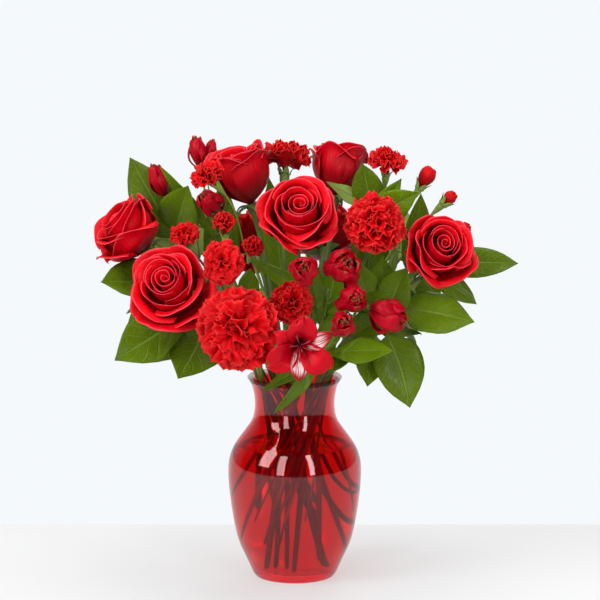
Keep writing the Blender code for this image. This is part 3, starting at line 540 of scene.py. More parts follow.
class Recipe:
    """A short way to write the nodes of a material or a world."""

    def __init__(self, name, kind="Material"):
        self.kind = kind
        self.made = getattr(bpy.data, kind.lower() + "s").new(name)
        self.made.use_nodes = True
        self.tree = self.made.node_tree
        self.tree.nodes.clear()

    def node(self, kind, inputs=(), output=0, **settings):
        """A node with its settings, values and links, and one of its outputs."""
        made = self.tree.nodes.new("ShaderNode" + kind)
        for key, value in settings.items():
            setattr(made, key, value)
        for key, value in dict(inputs).items():
            socket = made.inputs[key]
            if isinstance(value, bpy.types.NodeSocket):
                self.tree.links.new(value, socket)
            else:
                socket.default_value = (*value, 1.0) if socket.type == "RGBA" else value
        return made.outputs[output]

    def math(self, operation, first, second=0.0):
        """A sum, product or the like."""
        return self.node("Math", {0: first, 1: second}, operation=operation)

    def times(self, first, second):
        """A product."""
        return self.math("MULTIPLY", first, second)

    def ramp(self, value, low, high, to_low=0.0, to_high=1.0, curve="SMOOTHSTEP"):
        """A step of a value."""
        inputs = dict(enumerate((value, low, high, to_low, to_high)))
        return self.node("MapRange", inputs, interpolation_type=curve)

    def mix(self, share, first, second):
        """Two colours mixed."""
        return self.node("Mix", {0: share, 6: first, 7: second}, 2, data_type="RGBA")

    def petal(self):
        """Where a point lies across and along its petal, and the petal's tone."""
        vector = self.node("Attribute", attribute_name="petal", output="Vector")
        return tuple(self.node("SeparateXYZ", {0: vector}).node.outputs)

    def space(self, *scale):
        """The object's own space, by a scale where one is given."""
        place = self.node("TexCoord", output="Object")
        return self.node("Mapping", {"Vector": place, "Scale": scale}) if scale else place

    def ray(self, kind):
        """Whether the light is looked at along a ray of this kind."""
        return self.node("LightPath", output=f"Is {kind} Ray")

    def noise(self, scale, detail=2.0, vector=None):
        """Fine unevenness from 0 to 1."""
        inputs = {"Scale": scale, "Detail": detail, "Vector": vector or self.space()}
        return self.node("TexNoise", inputs)

    def streaks(self, fine, long, detail=3.0, spread=1.0):
        """Unevenness drawn out along a petal, and another on each petal."""
        parts = (self.times(*pair) for pair in zip(self.petal(), (fine, long, spread)))
        return self.noise(1.0, detail, self.node("CombineXYZ", dict(enumerate(parts))))

    def bump(self, height, strength, distance):
        """A normal from a height."""
        return self.node("Bump", {"Height": height, "Strength": strength, "Distance": distance})

    def surface(self, base, roughness, **values):
        """A principled surface."""
        inputs = {key.replace("_", " "): value for key, value in values.items()}
        return self.node("BsdfPrincipled", {"Base Color": base, "Roughness": roughness, **inputs})

    def finish(self, shader, other=None, share=0.0):
        """The shader, or two of them mixed, on the output."""
        if other:
            shader = self.node("MixShader", {0: share, 1: shader, 2: other})
        output = self.tree.nodes.new("ShaderNodeOutput" + self.kind)
        self.tree.links.new(shader, output.inputs["Surface"])
        return self.made

    def leafy(self, surface, glow, share):
        """A surface that lets some light through from behind."""
        return self.finish(surface, self.node("BsdfTranslucent", {"Color": glow}), share)


def petal_material(name, main, rim, look):
    """A petal: darker at its base as painted shade deep in the bloom, full in its middle, and a
    light rim that is a painted highlight; fine veins run along it.
    """
    recipe = Recipe(name)
    _, along, tone = recipe.petal()
    deep = scaled(main, look.deep)
    darker = recipe.mix(0.55, main, deep)
    # Painted shade: the petal darkens towards its base, deep inside the bloom
    body = recipe.mix(recipe.ramp(along, 0.05, 0.75), deep, main)
    body = recipe.mix(recipe.times(tone, look.tone), body, darker)
    mottle = recipe.ramp(recipe.noise(look.mottle), 0.35, 0.75)
    body = recipe.mix(recipe.times(mottle, 0.35), body, darker)
    # Painted highlight: a lighter rim colour along the last stretch of each petal
    edge = recipe.ramp(along, look.edge, 1.0)
    body = recipe.mix(recipe.times(edge, look.rim), body, rim)
    surface = recipe.surface(
        body, recipe.ramp(recipe.noise(180.0), 0.3, 0.7, look.smooth, look.rough),
        Normal=recipe.bump(recipe.streaks(look.veins, 1.6, spread=9.0), 0.5, look.relief),
        Specular_IOR_Level=0.14, Sheen_Weight=look.sheen, Sheen_Roughness=0.4,
        Sheen_Tint=(1.0, 0.05, 0.1),
    )
    return recipe.leafy(surface, scaled(main, 1.25), look.through)


def alstroemeria_material(name, main, settings, marked=False):
    """A petal darkened at its base as painted shade, with dark veins and a green tip, or with a pale
    patch and dark dashes.
    """
    recipe = Recipe(name)
    across, along, tone = recipe.petal()
    deep = scaled(main, 0.45)
    # Painted shade: darker towards the petal's base, deep in the flower; the veins below take the
    # same dark red as their own colour
    body = recipe.mix(recipe.ramp(along, 0.0, 0.6), deep, main)
    body = recipe.mix(recipe.times(tone, 0.5), body, scaled(main, 1.5))
    veins = recipe.streaks(9.0, 1.2)
    body = recipe.mix(recipe.ramp(veins, 0.5, 0.75, 0.0, 0.45), body, deep)
    if marked:
        patch = recipe.times(recipe.ramp(along, 0.28, 0.42), recipe.ramp(along, 0.92, 0.70))
        side = recipe.ramp(recipe.math("ABSOLUTE", across), 0.95, 0.45)
        body = recipe.mix(recipe.times(patch, side), body, settings.patch)
        dashes = recipe.ramp(recipe.streaks(13.0, 3.2, 1.0), 0.50, 0.58)
        dashes = recipe.times(dashes, recipe.ramp(along, 0.20, 0.36))
        body = recipe.mix(dashes, body, settings.fleck)
    else:
        green = recipe.times(recipe.ramp(along, 0.95, 1.0), 0.6)
        body = recipe.mix(green, body, settings.tip)
    normal = recipe.bump(veins, 0.4, 0.0006)
    surface = recipe.surface(body, 0.34, Normal=normal, Specular_IOR_Level=0.13)
    return recipe.leafy(surface, scaled(main, 1.3), 0.12)


def leaf_material(name, main, vein, look):
    """A leaf with a midrib, arched side veins and a net of small ones between them."""
    recipe = Recipe(name)
    across, along, tone = recipe.petal()
    out = recipe.math("ABSOLUTE", across)
    rise = recipe.times(recipe.math("POWER", out, 0.8), look.slant)
    rise = recipe.math("SUBTRACT", recipe.times(along, look.veins), rise)
    phase = recipe.math("FRACT", recipe.math("ADD", rise, recipe.times(recipe.noise(40.0), 0.5)))
    apart = recipe.math("ABSOLUTE", recipe.math("SUBTRACT", phase, 0.5))
    side_vein = recipe.times(recipe.ramp(apart, 0.09, 0.0), recipe.ramp(out, 1.0, 0.75))
    cells = {"Vector": recipe.space(), "Scale": 330.0}
    net = recipe.ramp(recipe.node("TexVoronoi", cells, feature="DISTANCE_TO_EDGE"), 0.09, 0.0)
    lines = recipe.math("MAXIMUM", recipe.ramp(out, 0.07, 0.02), recipe.times(side_vein, 0.75))
    paint = recipe.math("MAXIMUM", lines, recipe.times(net, look.net))
    light = scaled(main, 1.4)
    body = recipe.mix(recipe.ramp(recipe.noise(26.0), 0.3, 0.7), main, light)
    body = recipe.mix(recipe.times(tone, 0.6), body, scaled(main, 0.55))
    body = recipe.mix(recipe.times(paint, look.contrast), body, vein)
    height = recipe.math("SUBTRACT", recipe.times(net, 0.3), recipe.times(lines, look.sunk))
    surface = recipe.surface(
        body, recipe.ramp(recipe.noise(90.0), 0.3, 0.7, look.smooth, look.rough),
        Normal=recipe.bump(height, 1.0, 0.0005), Specular_IOR_Level=0.16,
    )
    return recipe.leafy(surface, scaled(light, 2.0), 0.05)


def stem_material(name, shown, warm, rough=0.45):
    """A fresh green stem with fine grooves and warmer blotches."""
    recipe = Recipe(name)
    body = recipe.mix(recipe.ramp(recipe.noise(22.0), 0.3, 0.7), scaled(shown, 0.55), shown)
    body = recipe.mix(recipe.ramp(recipe.noise(55.0, 3.0), 0.45, 0.8, 0.0, 0.5), body, warm)
    normal = recipe.bump(recipe.noise(1.0, 2.0, recipe.space(900.0, 900.0, 60.0)), 0.4, 0.0003)
    return recipe.finish(recipe.surface(body, rough, Normal=normal, Specular_IOR_Level=0.4))


def clear_material(name, tint, ior, shade, unevenness=0.0, lip=0.0):
    """Glass or water that also lets the lamps' light through, and shows less dark at its lip."""
    recipe = Recipe(name)
    normal = recipe.bump(recipe.noise(1.0, 1.0, recipe.space(14.0, 14.0, 5.0)), unevenness, 0.002)
    surface = recipe.surface(tint, 0.0, IOR=ior, Transmission_Weight=1.0, Normal=normal)
    straight = recipe.ray("Shadow")
    if lip:
        at_lip = recipe.ramp(recipe.petal()[1], 0.97, 0.985, 0.0, lip)
        straight = recipe.math("MAXIMUM", straight, at_lip)
    return recipe.finish(surface, recipe.node("BsdfTransparent", {"Color": shade}), straight)


# The vase

def vase_profile():
    """Radius and height of the vase's skin, from under its base over the lip to its floor."""
    mesh = welded("vase")
    left = {v for v in mesh.verts if abs(v.co.y) < SAME_PLACE and v.co.x > 0}
    here = min(left, key=lambda v: (v.co.z, v.co.x))
    chain = []
    while here is not None:
        left.discard(here)
        chain.append(here)
        near = [v for edge in here.link_edges for v in edge.verts if v in left]
        here = min(near, key=lambda v: (v.co - chain[-1].co).length, default=None)
    profile = np.array([(v.co.x, v.co.z) for v in chain])
    mesh.free()
    return profile


def turned(name, profile, sides, material, replaces=()):
    """A closed clear body turned about the vase's axis."""
    sheets = Sheets()
    sheets.body(about(profile[:, :1], all_round(sides), profile[:, 1:]))
    piece = sheets.piece(name, [material], "red_glass", replaces=replaces)
    piece.data.set_sharp_from_angle(angle=SHARP)


class BOUQUET_OT_vase(Operator):
    """The turned glass of the vase."""

    bl_idname = "bouquet.vase"
    bl_label = "Glass vase"

    def execute(self, context):
        settings = context.scene.bouquet.glass
        shade = tuple(0.76 + 0.08 * c for c in settings.tint)
        glass = clear_material("red_glass", settings.tint, settings.ior, shade, 0.12, 0.75)
        turned("vase_glass", round_path(vase_profile(), 4), VASE_SIDES, glass, ["vase"])
        return {"FINISHED"}


class BOUQUET_OT_water(Operator):
    """The water, which meets the glass all round."""

    bl_idname = "bouquet.water"
    bl_label = "Water"

    def execute(self, context):
        level = context.scene.bouquet.glass.water_level
        profile = vase_profile()
        inside = round_path(profile[np.argmax(profile[:, 1]):], 6)[::-1]
        wet = inside[inside[:, 1] < level - 1.2 * MM]
        radius = np.interp(level, inside[:, 1], inside[:, 0])
        rows = np.array([
            wet[0] * (0.5, 1.0), *wet, (radius, level), (radius - 0.6 * MM, level - 0.5 * MM),
            (radius - 2.0 * MM, level - 0.9 * MM), (radius * 0.5, level - 1.0 * MM),
        ])
        rows[1:-3, 0] += WATER_BITE
        rows[:2, 1] -= WATER_BITE
        water = clear_material("clear_water", (0.98, 0.99, 0.98), 1.33, (0.98, 0.98, 0.98))
        turned("water", rows, WATER_SIDES, water)
        return {"FINISHED"}


# Roses

def rolled(radius, height, up, length, angle):
    """Carries a petal on from its wall in an arc that rolls outwards and down."""
    bend = length / np.maximum(angle, 0.05)
    turn = angle * up
    return radius + bend * (1 - np.cos(turn)), height + bend * np.sin(turn)


def rose_petal(place, whorl, shape, turn, rng):
    """One petal of a whorl: a wall that rises from the seat, and a lip that rolls outwards."""
    reach, level, roll, half = whorl
    openness, shift = shape
    across, along = sheet_places(*ROSE_GRID)
    size, tall = place.radius, place.depth
    reach = reach * (1 - 0.06 * math.sin(turn) * openness)
    level = level * (1 + 0.05 * math.sin(turn) * openness)
    outer = smooth(0.38, 1.0, reach)
    bold = outer * (0.3 + 0.7 * openness)
    # How long the lip is and how far it rolls, and what that leaves for the wall
    lip = size * (0.10 + 0.22 * outer) * rng.uniform(0.85, 1.2)
    roll = math.radians(roll * rng.uniform(0.7, 1.15))
    bend = lip / roll
    rim = reach * size * rng.uniform(0.91, 1.04) - bend * (1 - math.cos(roll))
    wall = level * tall * rng.uniform(0.95, 1.03) - bend * math.sin(min(roll, math.pi / 2))
    # The wall bulges a little and its sides are lower
    rise = np.minimum(along / ROSE_WALL, 1.0)
    up = np.maximum(along - ROSE_WALL, 0.0) / (1 - ROSE_WALL)
    sides = 1 - (0.05 + (0.04 + 0.18 * openness) * outer) * np.abs(across) ** 2.2
    bowl = 1 - (1 - rise) ** (2.8 - 1.1 * openness * outer)
    radius = 0.09 * size + (rim - 0.09 * size) * bowl
    radius = radius * (1 + 0.12 * (1 - 0.7 * outer) * np.sin(math.pi * rise))
    # The lip rolls most at its sides, so that it comes to a point
    off = np.abs(across - rng.uniform(-0.35, 0.35))
    wobble = 1 + 0.22 * wave(across, 2.0, 3.6, rng)
    angle = roll * (0.72 - 0.30 * bold + (0.45 + 0.70 * bold) * off ** 1.4) * wobble
    angle = np.minimum(angle, 2.4 + 1.4 * openness)
    lip = lip * (1.0 + bold * (0.30 - 0.50 * off)) * sides
    radius, height = rolled(radius, wall * rise * sides, up, lip, angle)
    # Creases, one side over the next petal, unevenness and a keel
    uneven = waves(1.1 * across, 0.8 * along, rng)
    creases = waves(3.2 * across, 0.7 * along, rng) * np.minimum(1.0, 2.2 * along)
    radius = radius + size * (
        (0.006 + 0.006 * outer) * creases
        + (0.040 + 0.035 * outer) * across * (0.2 + 0.8 * along)
        + (0.018 + 0.030 * outer) * uneven * along
        + 0.05 * outer * (0.45 - off) * smooth(0.3, 0.8, along)
    )
    height = height + size * (
        0.035 * rng.uniform(-1, 1) * across * along
        + (0.006 + 0.022 * outer) * up * wave(math.pi * across, 1.2, 2.2, rng)
    )
    # Round the axis, and over to where the heart lies
    spread = 0.50 + 0.50 * smooth(0, 0.5, along) - 0.08 * up
    points = about(radius, turn + math.radians(half) * across * spread, height)
    points[..., :2] += size * (1 - outer) * np.array(shift) * along[..., None]
    return placed(place, points), triples(across, along, rng.uniform(0, 1))


def rose_heart(place, shape, rng):
    """The coil at the middle: one petal wound round and round, its rim turned a little out."""
    openness, shift = shape
    size = place.radius
    wind, along = sheet_places(*HEART_GRID, 0)
    angle = any_turn(rng) + 2.8 * math.tau * wind
    # An uneven spiral with a swollen wall
    out = size * (0.02 + (0.27 + 0.03 * openness) * wind ** 1.15)
    out = out * (1 + 0.08 * np.sin(0.71 * angle + any_turn(rng)))
    out = out * (1 + 0.05 * np.sin(1.9 * angle + any_turn(rng)))
    lip = smooth(0.70, 1.0, along) ** 1.5
    radius = out * (0.86 + 0.14 * np.sin(math.pi * along))
    radius = radius + size * (0.045 * lip * (0.4 + wind) + 0.010 * np.sin(1.37 * angle) * along)
    # Its rim is highest halfway and wavy
    level = 0.93 - 0.10 * np.abs(wind - 0.45) ** 1.3 - 0.05 * (wind < 0.15)
    level = level + 0.025 * np.sin(0.83 * angle) + 0.012 * np.sin(2.9 * angle)
    height = place.depth * (0.30 + (level - 0.30) * along - 0.015 * lip)
    points = about(radius, angle, height)
    points[..., 0] += size * 0.05 * (1 - wind) * along
    points[..., :2] += size * np.array(shift) * along[..., None]
    return placed(place, points), triples(0.4 * np.sin(angle), along, 0.35)


def sepals(place, rng):
    """Five small pointed green leaves that droop from the foot of a rose."""
    sheets = Sheets()
    size, droop = 20 * MM, 0.55
    across, along = sheet_places(*SEPAL_GRID)
    width = size * 0.17 * np.interp(along, (0, 0.15, 0.4, 0.8, 1), (0.75, 1, 0.8, 0.3, 0.02))
    up = about(0.0, 0.0, 1.0)
    for step in all_round(5):
        turn = step + rng.uniform(-0.15, 0.15)
        out, side = about(1.0, turn, 0.0), about(1.0, turn + math.pi / 2, 0.0)
        base = size * (0.30 * out - 0.10 * up)
        control = size * (0.80 * out + 0.10 * (1 - droop) * up)
        tip = size * (rng.uniform(0.85, 1.1) * out - droop * rng.uniform(0.6, 1.0) * up)
        points = curve_point(base, control, tip, along) + (width * across)[..., None] * side
        points = points - (0.35 * width * across ** 2)[..., None] * up
        sheets.grid(placed(place, points), triples(across, along, rng.uniform(0, 1)))
    return sheets


class BOUQUET_OT_roses(Operator):
    """Seven roses of overlapping petals round a rolled heart."""

    bl_idname = "bouquet.roses"
    bl_label = "Roses"

    def execute(self, context):
        settings = context.scene.bouquet.rose
        materials = [
            petal_material("rose_petal_back", settings.outside, settings.rim, ROSE_BACK),
            petal_material("rose_petal_velvet", settings.inside, settings.rim, ROSE_VELVET),
        ]
        green = stem_material("rose_sepal", context.scene.bouquet.foliage.stem, srgb(110, 60, 40))
        for number, name in enumerate(ROSES):
            rng = np.random.default_rng(SEEDS["rose"] + number)
            bloom = f"rose_bloom_{name}"
            place = bloom_place(bloom, f"rose_stem_{name}")
            if name == "left":
                place = place._replace(radius=1.08 * place.radius)
            is_open = name in HEART_SHIFTS
            shape = (1.0, HEART_SHIFTS[name]) if is_open else (0.3, (0.0, 0.0))
            sheets = Sheets()
            sheets.grid(*rose_heart(place, shape, rng))
            start = any_turn(rng)
            for layer, (count, *whorl) in enumerate(OPEN_WHORLS if is_open else CLOSED_WHORLS):
                for step in all_round(count):
                    turn = start + WHORL_TURN * layer + step + rng.uniform(-0.22, 0.22)
                    sheets.grid(*rose_petal(place, whorl, shape, turn, rng))
            sheets.piece(
                f"rose_petals_{name}", materials, "rose_petal", settings.thickness, [bloom], 1
            )
            sepals(place, rng).piece(f"rose_sepals_{name}", [green], "stem_green", 0.6 * MM)
        return {"FINISHED"}


# Carnations

def carnation_petal(place, share, habit, turn, rng):
    """One frilled fan: share is 0 for the upright middle ones and 1 for the outermost."""
    across, along = sheet_places(habit.columns, CARNATION_ROWS)
    size, tall = place.radius, place.depth
    lean = math.acos(1 - share * (1 - math.cos(habit.widest))) + rng.uniform(-0.18, 0.10)
    # The fan's middle line, out of the cup and over
    foot = np.array((2.0 * MM, 0.04 * tall))
    bend = np.array((0.10 * size * share + 1.5 * MM, tall * (0.78 - 0.22 * share)))
    tip = np.array((0.97 * size * math.sin(lean), 0.50 * tall * (1 + math.cos(lean))))
    tip = tip * rng.uniform(0.82, 1.0)
    # Small teeth along the rim
    teeth = 0.030 * np.abs(np.sin(0.5 * math.pi * across * (habit.columns - 1) / 3.0))
    t = along * (1 - 0.12 * np.abs(across) ** 2.4 - teeth * smooth(0.7, 1.0, along))
    t = t + 0.012 * rng.standard_normal(across.shape) * smooth(0.75, 1.0, along)
    line, after, before = (curve_point(foot, bend, tip, t + step) for step in (0, 0.02, -0.02))
    slope = (after - before) / np.linalg.norm(after - before, axis=-1, keepdims=True)
    # The fan's width, and its coarse and fine folds
    fan = size * (0.42 + 0.18 * share) * (0.05 + 0.95 * smooth(0.20, 0.90, along))
    fold = smooth(0.35, 1.0, along) ** 1.2
    coarse = wave(math.pi * across, 1.4, 2.4, rng)
    fine = wave(math.pi * across, 4.4, 6.4, rng)
    frill = size * habit.ruffle * fold * (rng.uniform(0.6, 1.4) * coarse + 0.36 * fine)
    frill = frill + size * 0.05 * waves(1.2 * across, 1.5 * along, rng) * along
    curl = size * 0.16 * rng.uniform(-0.4, 1.0) * smooth(0.5, 1.0, along) ** 2
    # The folds stand off the line, and the fan is turned to its own side
    out = line[..., 0] - (frill - curl) * slope[..., 1]
    height = line[..., 1] + (frill - curl) * slope[..., 0]
    sideways = across * fan * (1 - 0.12 * np.abs(coarse) * fold) + rng.uniform(-0.6, 0.6) * frill
    cos, sin = math.cos(turn), math.sin(turn)
    points = triples(out * cos - sideways * sin, out * sin + sideways * cos, height)
    return placed(place, points), triples(across, along, rng.uniform(0, 1))


def carnation(place, habit, rng):
    """All the petals of one carnation."""
    sheets = Sheets()
    start = any_turn(rng)
    for index in range(habit.petals):
        share = (index / habit.petals) ** 1.15
        turn = start + index * GOLDEN_TURN + rng.uniform(-0.25, 0.25)
        sheets.grid(*carnation_petal(place, share, habit, turn, rng))
    return sheets


def tepal(place, outline, width, turn, closed, rng):
    """A petal of a flower that flares from a narrow foot, or of a closed bud."""
    across, along = sheet_places(*TEPAL_GRID)
    size, tall = place.radius, place.depth
    # Between flared and shut
    flared = 0.06 + 0.92 * along ** 1.3
    shut = (0.16 + 0.84 * np.sin(math.pi * (0.02 + 0.90 * along ** 0.85))) * 0.92
    radius = size * (flared + (shut - flared) * closed) * rng.uniform(0.93, 1.05)
    radius = radius + 0.05 * size * across * (1 - across ** 2) * along
    tipped = smooth(0.70, 1.0, along)
    height = tall * (1 - (1 - along) ** (2.0 - 0.9 * closed)) * rng.uniform(0.93, 1.0)
    height = height - (1 - closed) * 0.16 * tall * tipped
    radius = radius * (1 + rng.uniform(-0.10, 0.14) * tipped)
    # Its width, its cupped middle and its wavy rim
    breadth = width * np.interp(along, *zip(*outline))
    angle = np.clip(breadth * across / np.maximum(radius, 1.6 * MM), -1.35, 1.35)
    cup = 0.16 * width * (np.abs(across) ** 1.5 - 0.3) * (1 - tipped)
    frill = 0.10 * waves(2.2 * across, 1.4 * along, rng)
    frill = frill + 0.05 * np.sin(3.1 * math.pi * along + 2.0 * across + any_turn(rng))
    frill = width * frill * along
    points = about(radius - cup + frill, turn + angle, height + 0.4 * frill)
    return placed(place, points), triples(across, along, rng.uniform(0, 1))


def bud_petals(place, rng):
    """The red tuft of a carnation bud: its petals still wrapped round each other."""
    sheets = Sheets()
    for index in range(7):
        inner = 0.55 if index % 2 else 1.0
        radius, depth = place.radius * inner, place.depth * (1.08 - 0.12 * inner)
        tucked = place._replace(radius=radius, depth=depth)
        turn = 2.4 * index + rng.uniform(-0.2, 0.2)
        sheets.grid(*tepal(tucked, BUD_PETAL, 1.05 * radius, turn, 0.85, rng))
    return sheets


def calyx_teeth(place, habit, rng):
    """The points at the top of the green cup that hold the petals."""
    sheets = Sheets()
    size = habit.teeth
    across, along = sheet_places(*TOOTH_GRID)
    spread = 0.60 * across * (1 - along ** 1.5)
    out = habit.cup_radius + size * (0.10 + 0.45 * along ** 2)
    for turn in all_round(5):
        points = about(out, turn + rng.uniform(-0.1, 0.1) + spread, size * (along - 0.25))
        sheets.grid(placed(place, points), triples(across, along, 0.5))
    return sheets


class BOUQUET_OT_carnations(Operator):
    """Five large carnations and nine mini ones of frilled petals."""

    bl_idname = "bouquet.carnations"
    bl_label = "Carnations"

    def execute(self, context):
        settings = context.scene.bouquet.carnation
        foliage = context.scene.bouquet.foliage
        petal = petal_material("carnation_petal", settings.petal, settings.rim, CARNATION_LOOK)
        green = stem_material("carnation_cup", foliage.stem, srgb(140, 150, 80))
        lime = stem_material("mini_carnation_cup", foliage.spray, srgb(170, 176, 80))
        large = Habit(
            settings.petals, math.radians(100), settings.ruffle, 25, "carnation_petal", green,
            5.4 * MM, 7 * MM,
        )
        mini = Habit(
            settings.mini_petals, math.radians(98), settings.ruffle * 1.2, 22,
            "mini_carnation_petal", lime, 4.1 * MM, 5 * MM,
        )
        bud = mini._replace(petals=0, teeth=9 * MM)
        heads = [
            (large, "carnation", name, f"carnation_bloom_{name}", f"carnation_stem_{name}", number)
            for number, name in enumerate(CARNATIONS)
        ]
        heads += [
            (bud if letter in MINI_BUDS else mini, "mini", letter, f"mini_carnation_{letter}",
             f"mini_spray_stem_{spray}", ord(letter))
            for spray, letter in each(MINIS)
        ]
        for habit, kind, name, bloom, stem, number in heads:
            rng = np.random.default_rng(SEEDS[kind] + number)
            place = bloom_place(bloom, stem)
            sheets = carnation(place, habit, rng) if habit.petals else bud_petals(place, rng)
            sheets.piece(
                f"{kind}_petals_{name}", [petal], habit.slot, settings.thickness, [bloom]
            )
            calyx_teeth(place, habit, rng).piece(
                f"{kind}_teeth_{name}", [habit.cup], "stem_green", 0.4 * MM
            )
        return {"FINISHED"}


# Alstroemerias

def alstroemeria_petals(place, heart, closed, rng):
    """The plain and the marked petals: six of an open flower, or two rounds of six."""
    plain, marked = Sheets(), Sheets()
    wide = (0.50 + 0.25 * closed) * max(place.radius, 0.30 * place.depth)
    start = any_turn(rng) if closed else -0.6
    for index in range(12 if closed else 6):
        inner_round = index > 5
        width = wide * (0.62 if inner_round else 1.0)
        turn = start + index * math.pi / 3 + (0.4 if inner_round else 0.0)
        if index % 2 == 0:
            outline, inward = OUTER_TEPAL, closed
        else:
            outline, inward, width = INNER_TEPAL, min(1.26, closed * 1.55), 0.8 * width
        sheets = plain if closed or index not in MARKED_TEPALS else marked
        foot = heart if inner_round else place
        sheets.grid(*tepal(foot, outline, width, turn, inward, rng))
    return plain, marked


def stamens(place, rng):
    """Six curved threads with their pollen cases, and the style between them."""
    sheets = Sheets()
    for index in range(7):
        turn = index * 0.898 + rng.uniform(-0.2, 0.2)
        lean = 0.05 if index == 6 else rng.uniform(0.16, 0.42)
        end = about(place.radius * lean, turn, place.depth * rng.uniform(0.72, 0.95))
        start = about(0.04 * place.radius, turn, 0.18 * place.depth)
        bend = about(0.02 * place.radius, turn, 0.65 * place.depth)
        path = placed(place, curve_point(start, bend, end, np.linspace(0, 1, 8)))
        sheets.body(tube(path, [0.45 * MM] * 8, THREAD_SIDES))
        if index < 6:
            forward = unit(path[-1] - path[-2])
            case = path[-1] + np.outer(np.linspace(-0.3, 3.0, 7) * MM, forward)
            sheets.body(tube(case, np.array(POLLEN_CASE) * MM), 1)
    return sheets


class BOUQUET_OT_alstroemerias(Operator):
    """Ten alstroemeria flowers and buds with marked inner petals and stamens."""

    bl_idname = "bouquet.alstroemerias"
    bl_label = "Alstroemerias"

    def execute(self, context):
        settings = context.scene.bouquet.alstroemeria
        back = alstroemeria_material("alstroemeria_back", settings.back, settings)
        inside = alstroemeria_material("alstroemeria_petal", settings.petal, settings)
        spotted = alstroemeria_material("alstroemeria_marked", settings.petal, settings, True)
        threads = [
            stem_material("stamen_thread", srgb(206, 70, 84), srgb(232, 140, 130), 0.4),
            stem_material("pollen_case", srgb(110, 70, 54), srgb(150, 112, 80), 0.8),
        ]
        for stem, letter in each(ALSTROEMERIAS):
            rng = np.random.default_rng(SEEDS["alstroemeria"] + ord(letter))
            bloom = f"alstroemeria_{letter}"
            place = bloom_place(bloom, f"alstroemeria_stem_{stem}")
            is_bud, is_open = letter in ALSTROEMERIA_BUDS, letter == OPEN_ALSTROEMERIA
            closed = 0.0 if is_open else 0.93 if is_bud else 0.80
            heart = place if is_open else place._replace(radius=0.52 * place.radius)
            plain, marked = alstroemeria_petals(place, heart, closed, rng)
            plain.piece(
                f"alstroemeria_petals_{letter}", [back, inside], "alstroemeria_petal",
                settings.thickness, [bloom], 1,
            )
            if marked.points:
                marked.piece(
                    f"alstroemeria_marked_petals_{letter}", [back, spotted],
                    "alstroemeria_petal", settings.thickness, (), 1,
                )
            if not is_bud:
                stamens(heart, rng).piece(
                    f"alstroemeria_stamens_{letter}", threads, "alstroemeria_petal"
                )
        return {"FINISHED"}


# Leaves and stems

def leaf_rings(mesh, tip):
    """The points of a leaf plate, ring by ring from its tip."""
    tip = Vector(tip) * MM
    ring = sorted(mesh.verts, key=lambda v: (v.co - tip).length)[:4]
    rings, seen = [ring], set(ring)
    while len(rings) < len(LEAF_STATIONS):
        following = {e.other_vert(v) for v in rings[-1] for e in v.link_edges} - seen
        if len(following) != 4:
            raise RuntimeError(f"the leaf at {tuple(tip)} has a ring of {len(following)} points")
        rings.append(sorted(following, key=lambda v: v.index))
        seen |= following
    return rings


def leaf_line(rings):
    """Base, control point and tip of a leaf's midrib, and its half width."""
    t = np.array(LEAF_STATIONS)
    centres = np.array([sum((v.co for v in ring), Vector()) / 4 for ring in rings])
    basis = np.stack(((1 - t) ** 2, 2 * t * (1 - t), t * t), axis=1)
    base, control, tip = np.linalg.lstsq(basis, centres, rcond=None)[0]
    widest = max((a.co - b.co).length for a in rings[3] for b in rings[3])
    return base, control, tip, widest / 2


def leaf_sheet(line, face, style, rng):
    """A leaf's blade: folded along its midrib, with wavy edges."""
    base, control, tip, half = line
    across, along = sheet_places(*LEAF_GRID)
    off = np.abs(across)
    # The midrib, and the blade's own directions along it
    middle = curve_point(base, control, tip, along)
    slope = np.gradient(middle, axis=0)
    slope /= np.linalg.norm(slope, axis=-1, keepdims=True)
    sideways = unit(np.cross(unit(tip - base), face))
    twist = (style.twist * smooth(0.1, 0.9, along) * rng.uniform(-1, 1))[..., None]
    side = np.cos(twist) * sideways + np.sin(twist) * np.cross(sideways, slope)
    # Folded along the midrib, rippled at its edges and quilted between its veins
    width = half * np.interp(along, *zip(*style.outline))
    rise = width * (style.fold * rng.uniform(0.6, 1.2) * off - 0.16 * off ** 3)
    bow = half * 0.10 * rng.uniform(-1, 1) * np.sin(math.pi * along)
    phase = style.ripples * math.pi * along + any_turn(rng) + 1.3 * np.sign(across)
    rise = rise + half * style.ripple * off ** 2 * np.sin(phase) * np.minimum(
        1.0, 1.4 * width / half
    )
    quilt = 0.010 * half * style.quilt * np.cos(math.tau * (9.0 * along - 2.1 * off ** 0.8))
    rise = rise - quilt * np.minimum(1.0, width / half)
    points = middle + (width * across + bow)[..., None] * side
    points = points + rise[..., None] * np.cross(side, slope)
    return points, triples(across, along, rng.uniform(0, 1))


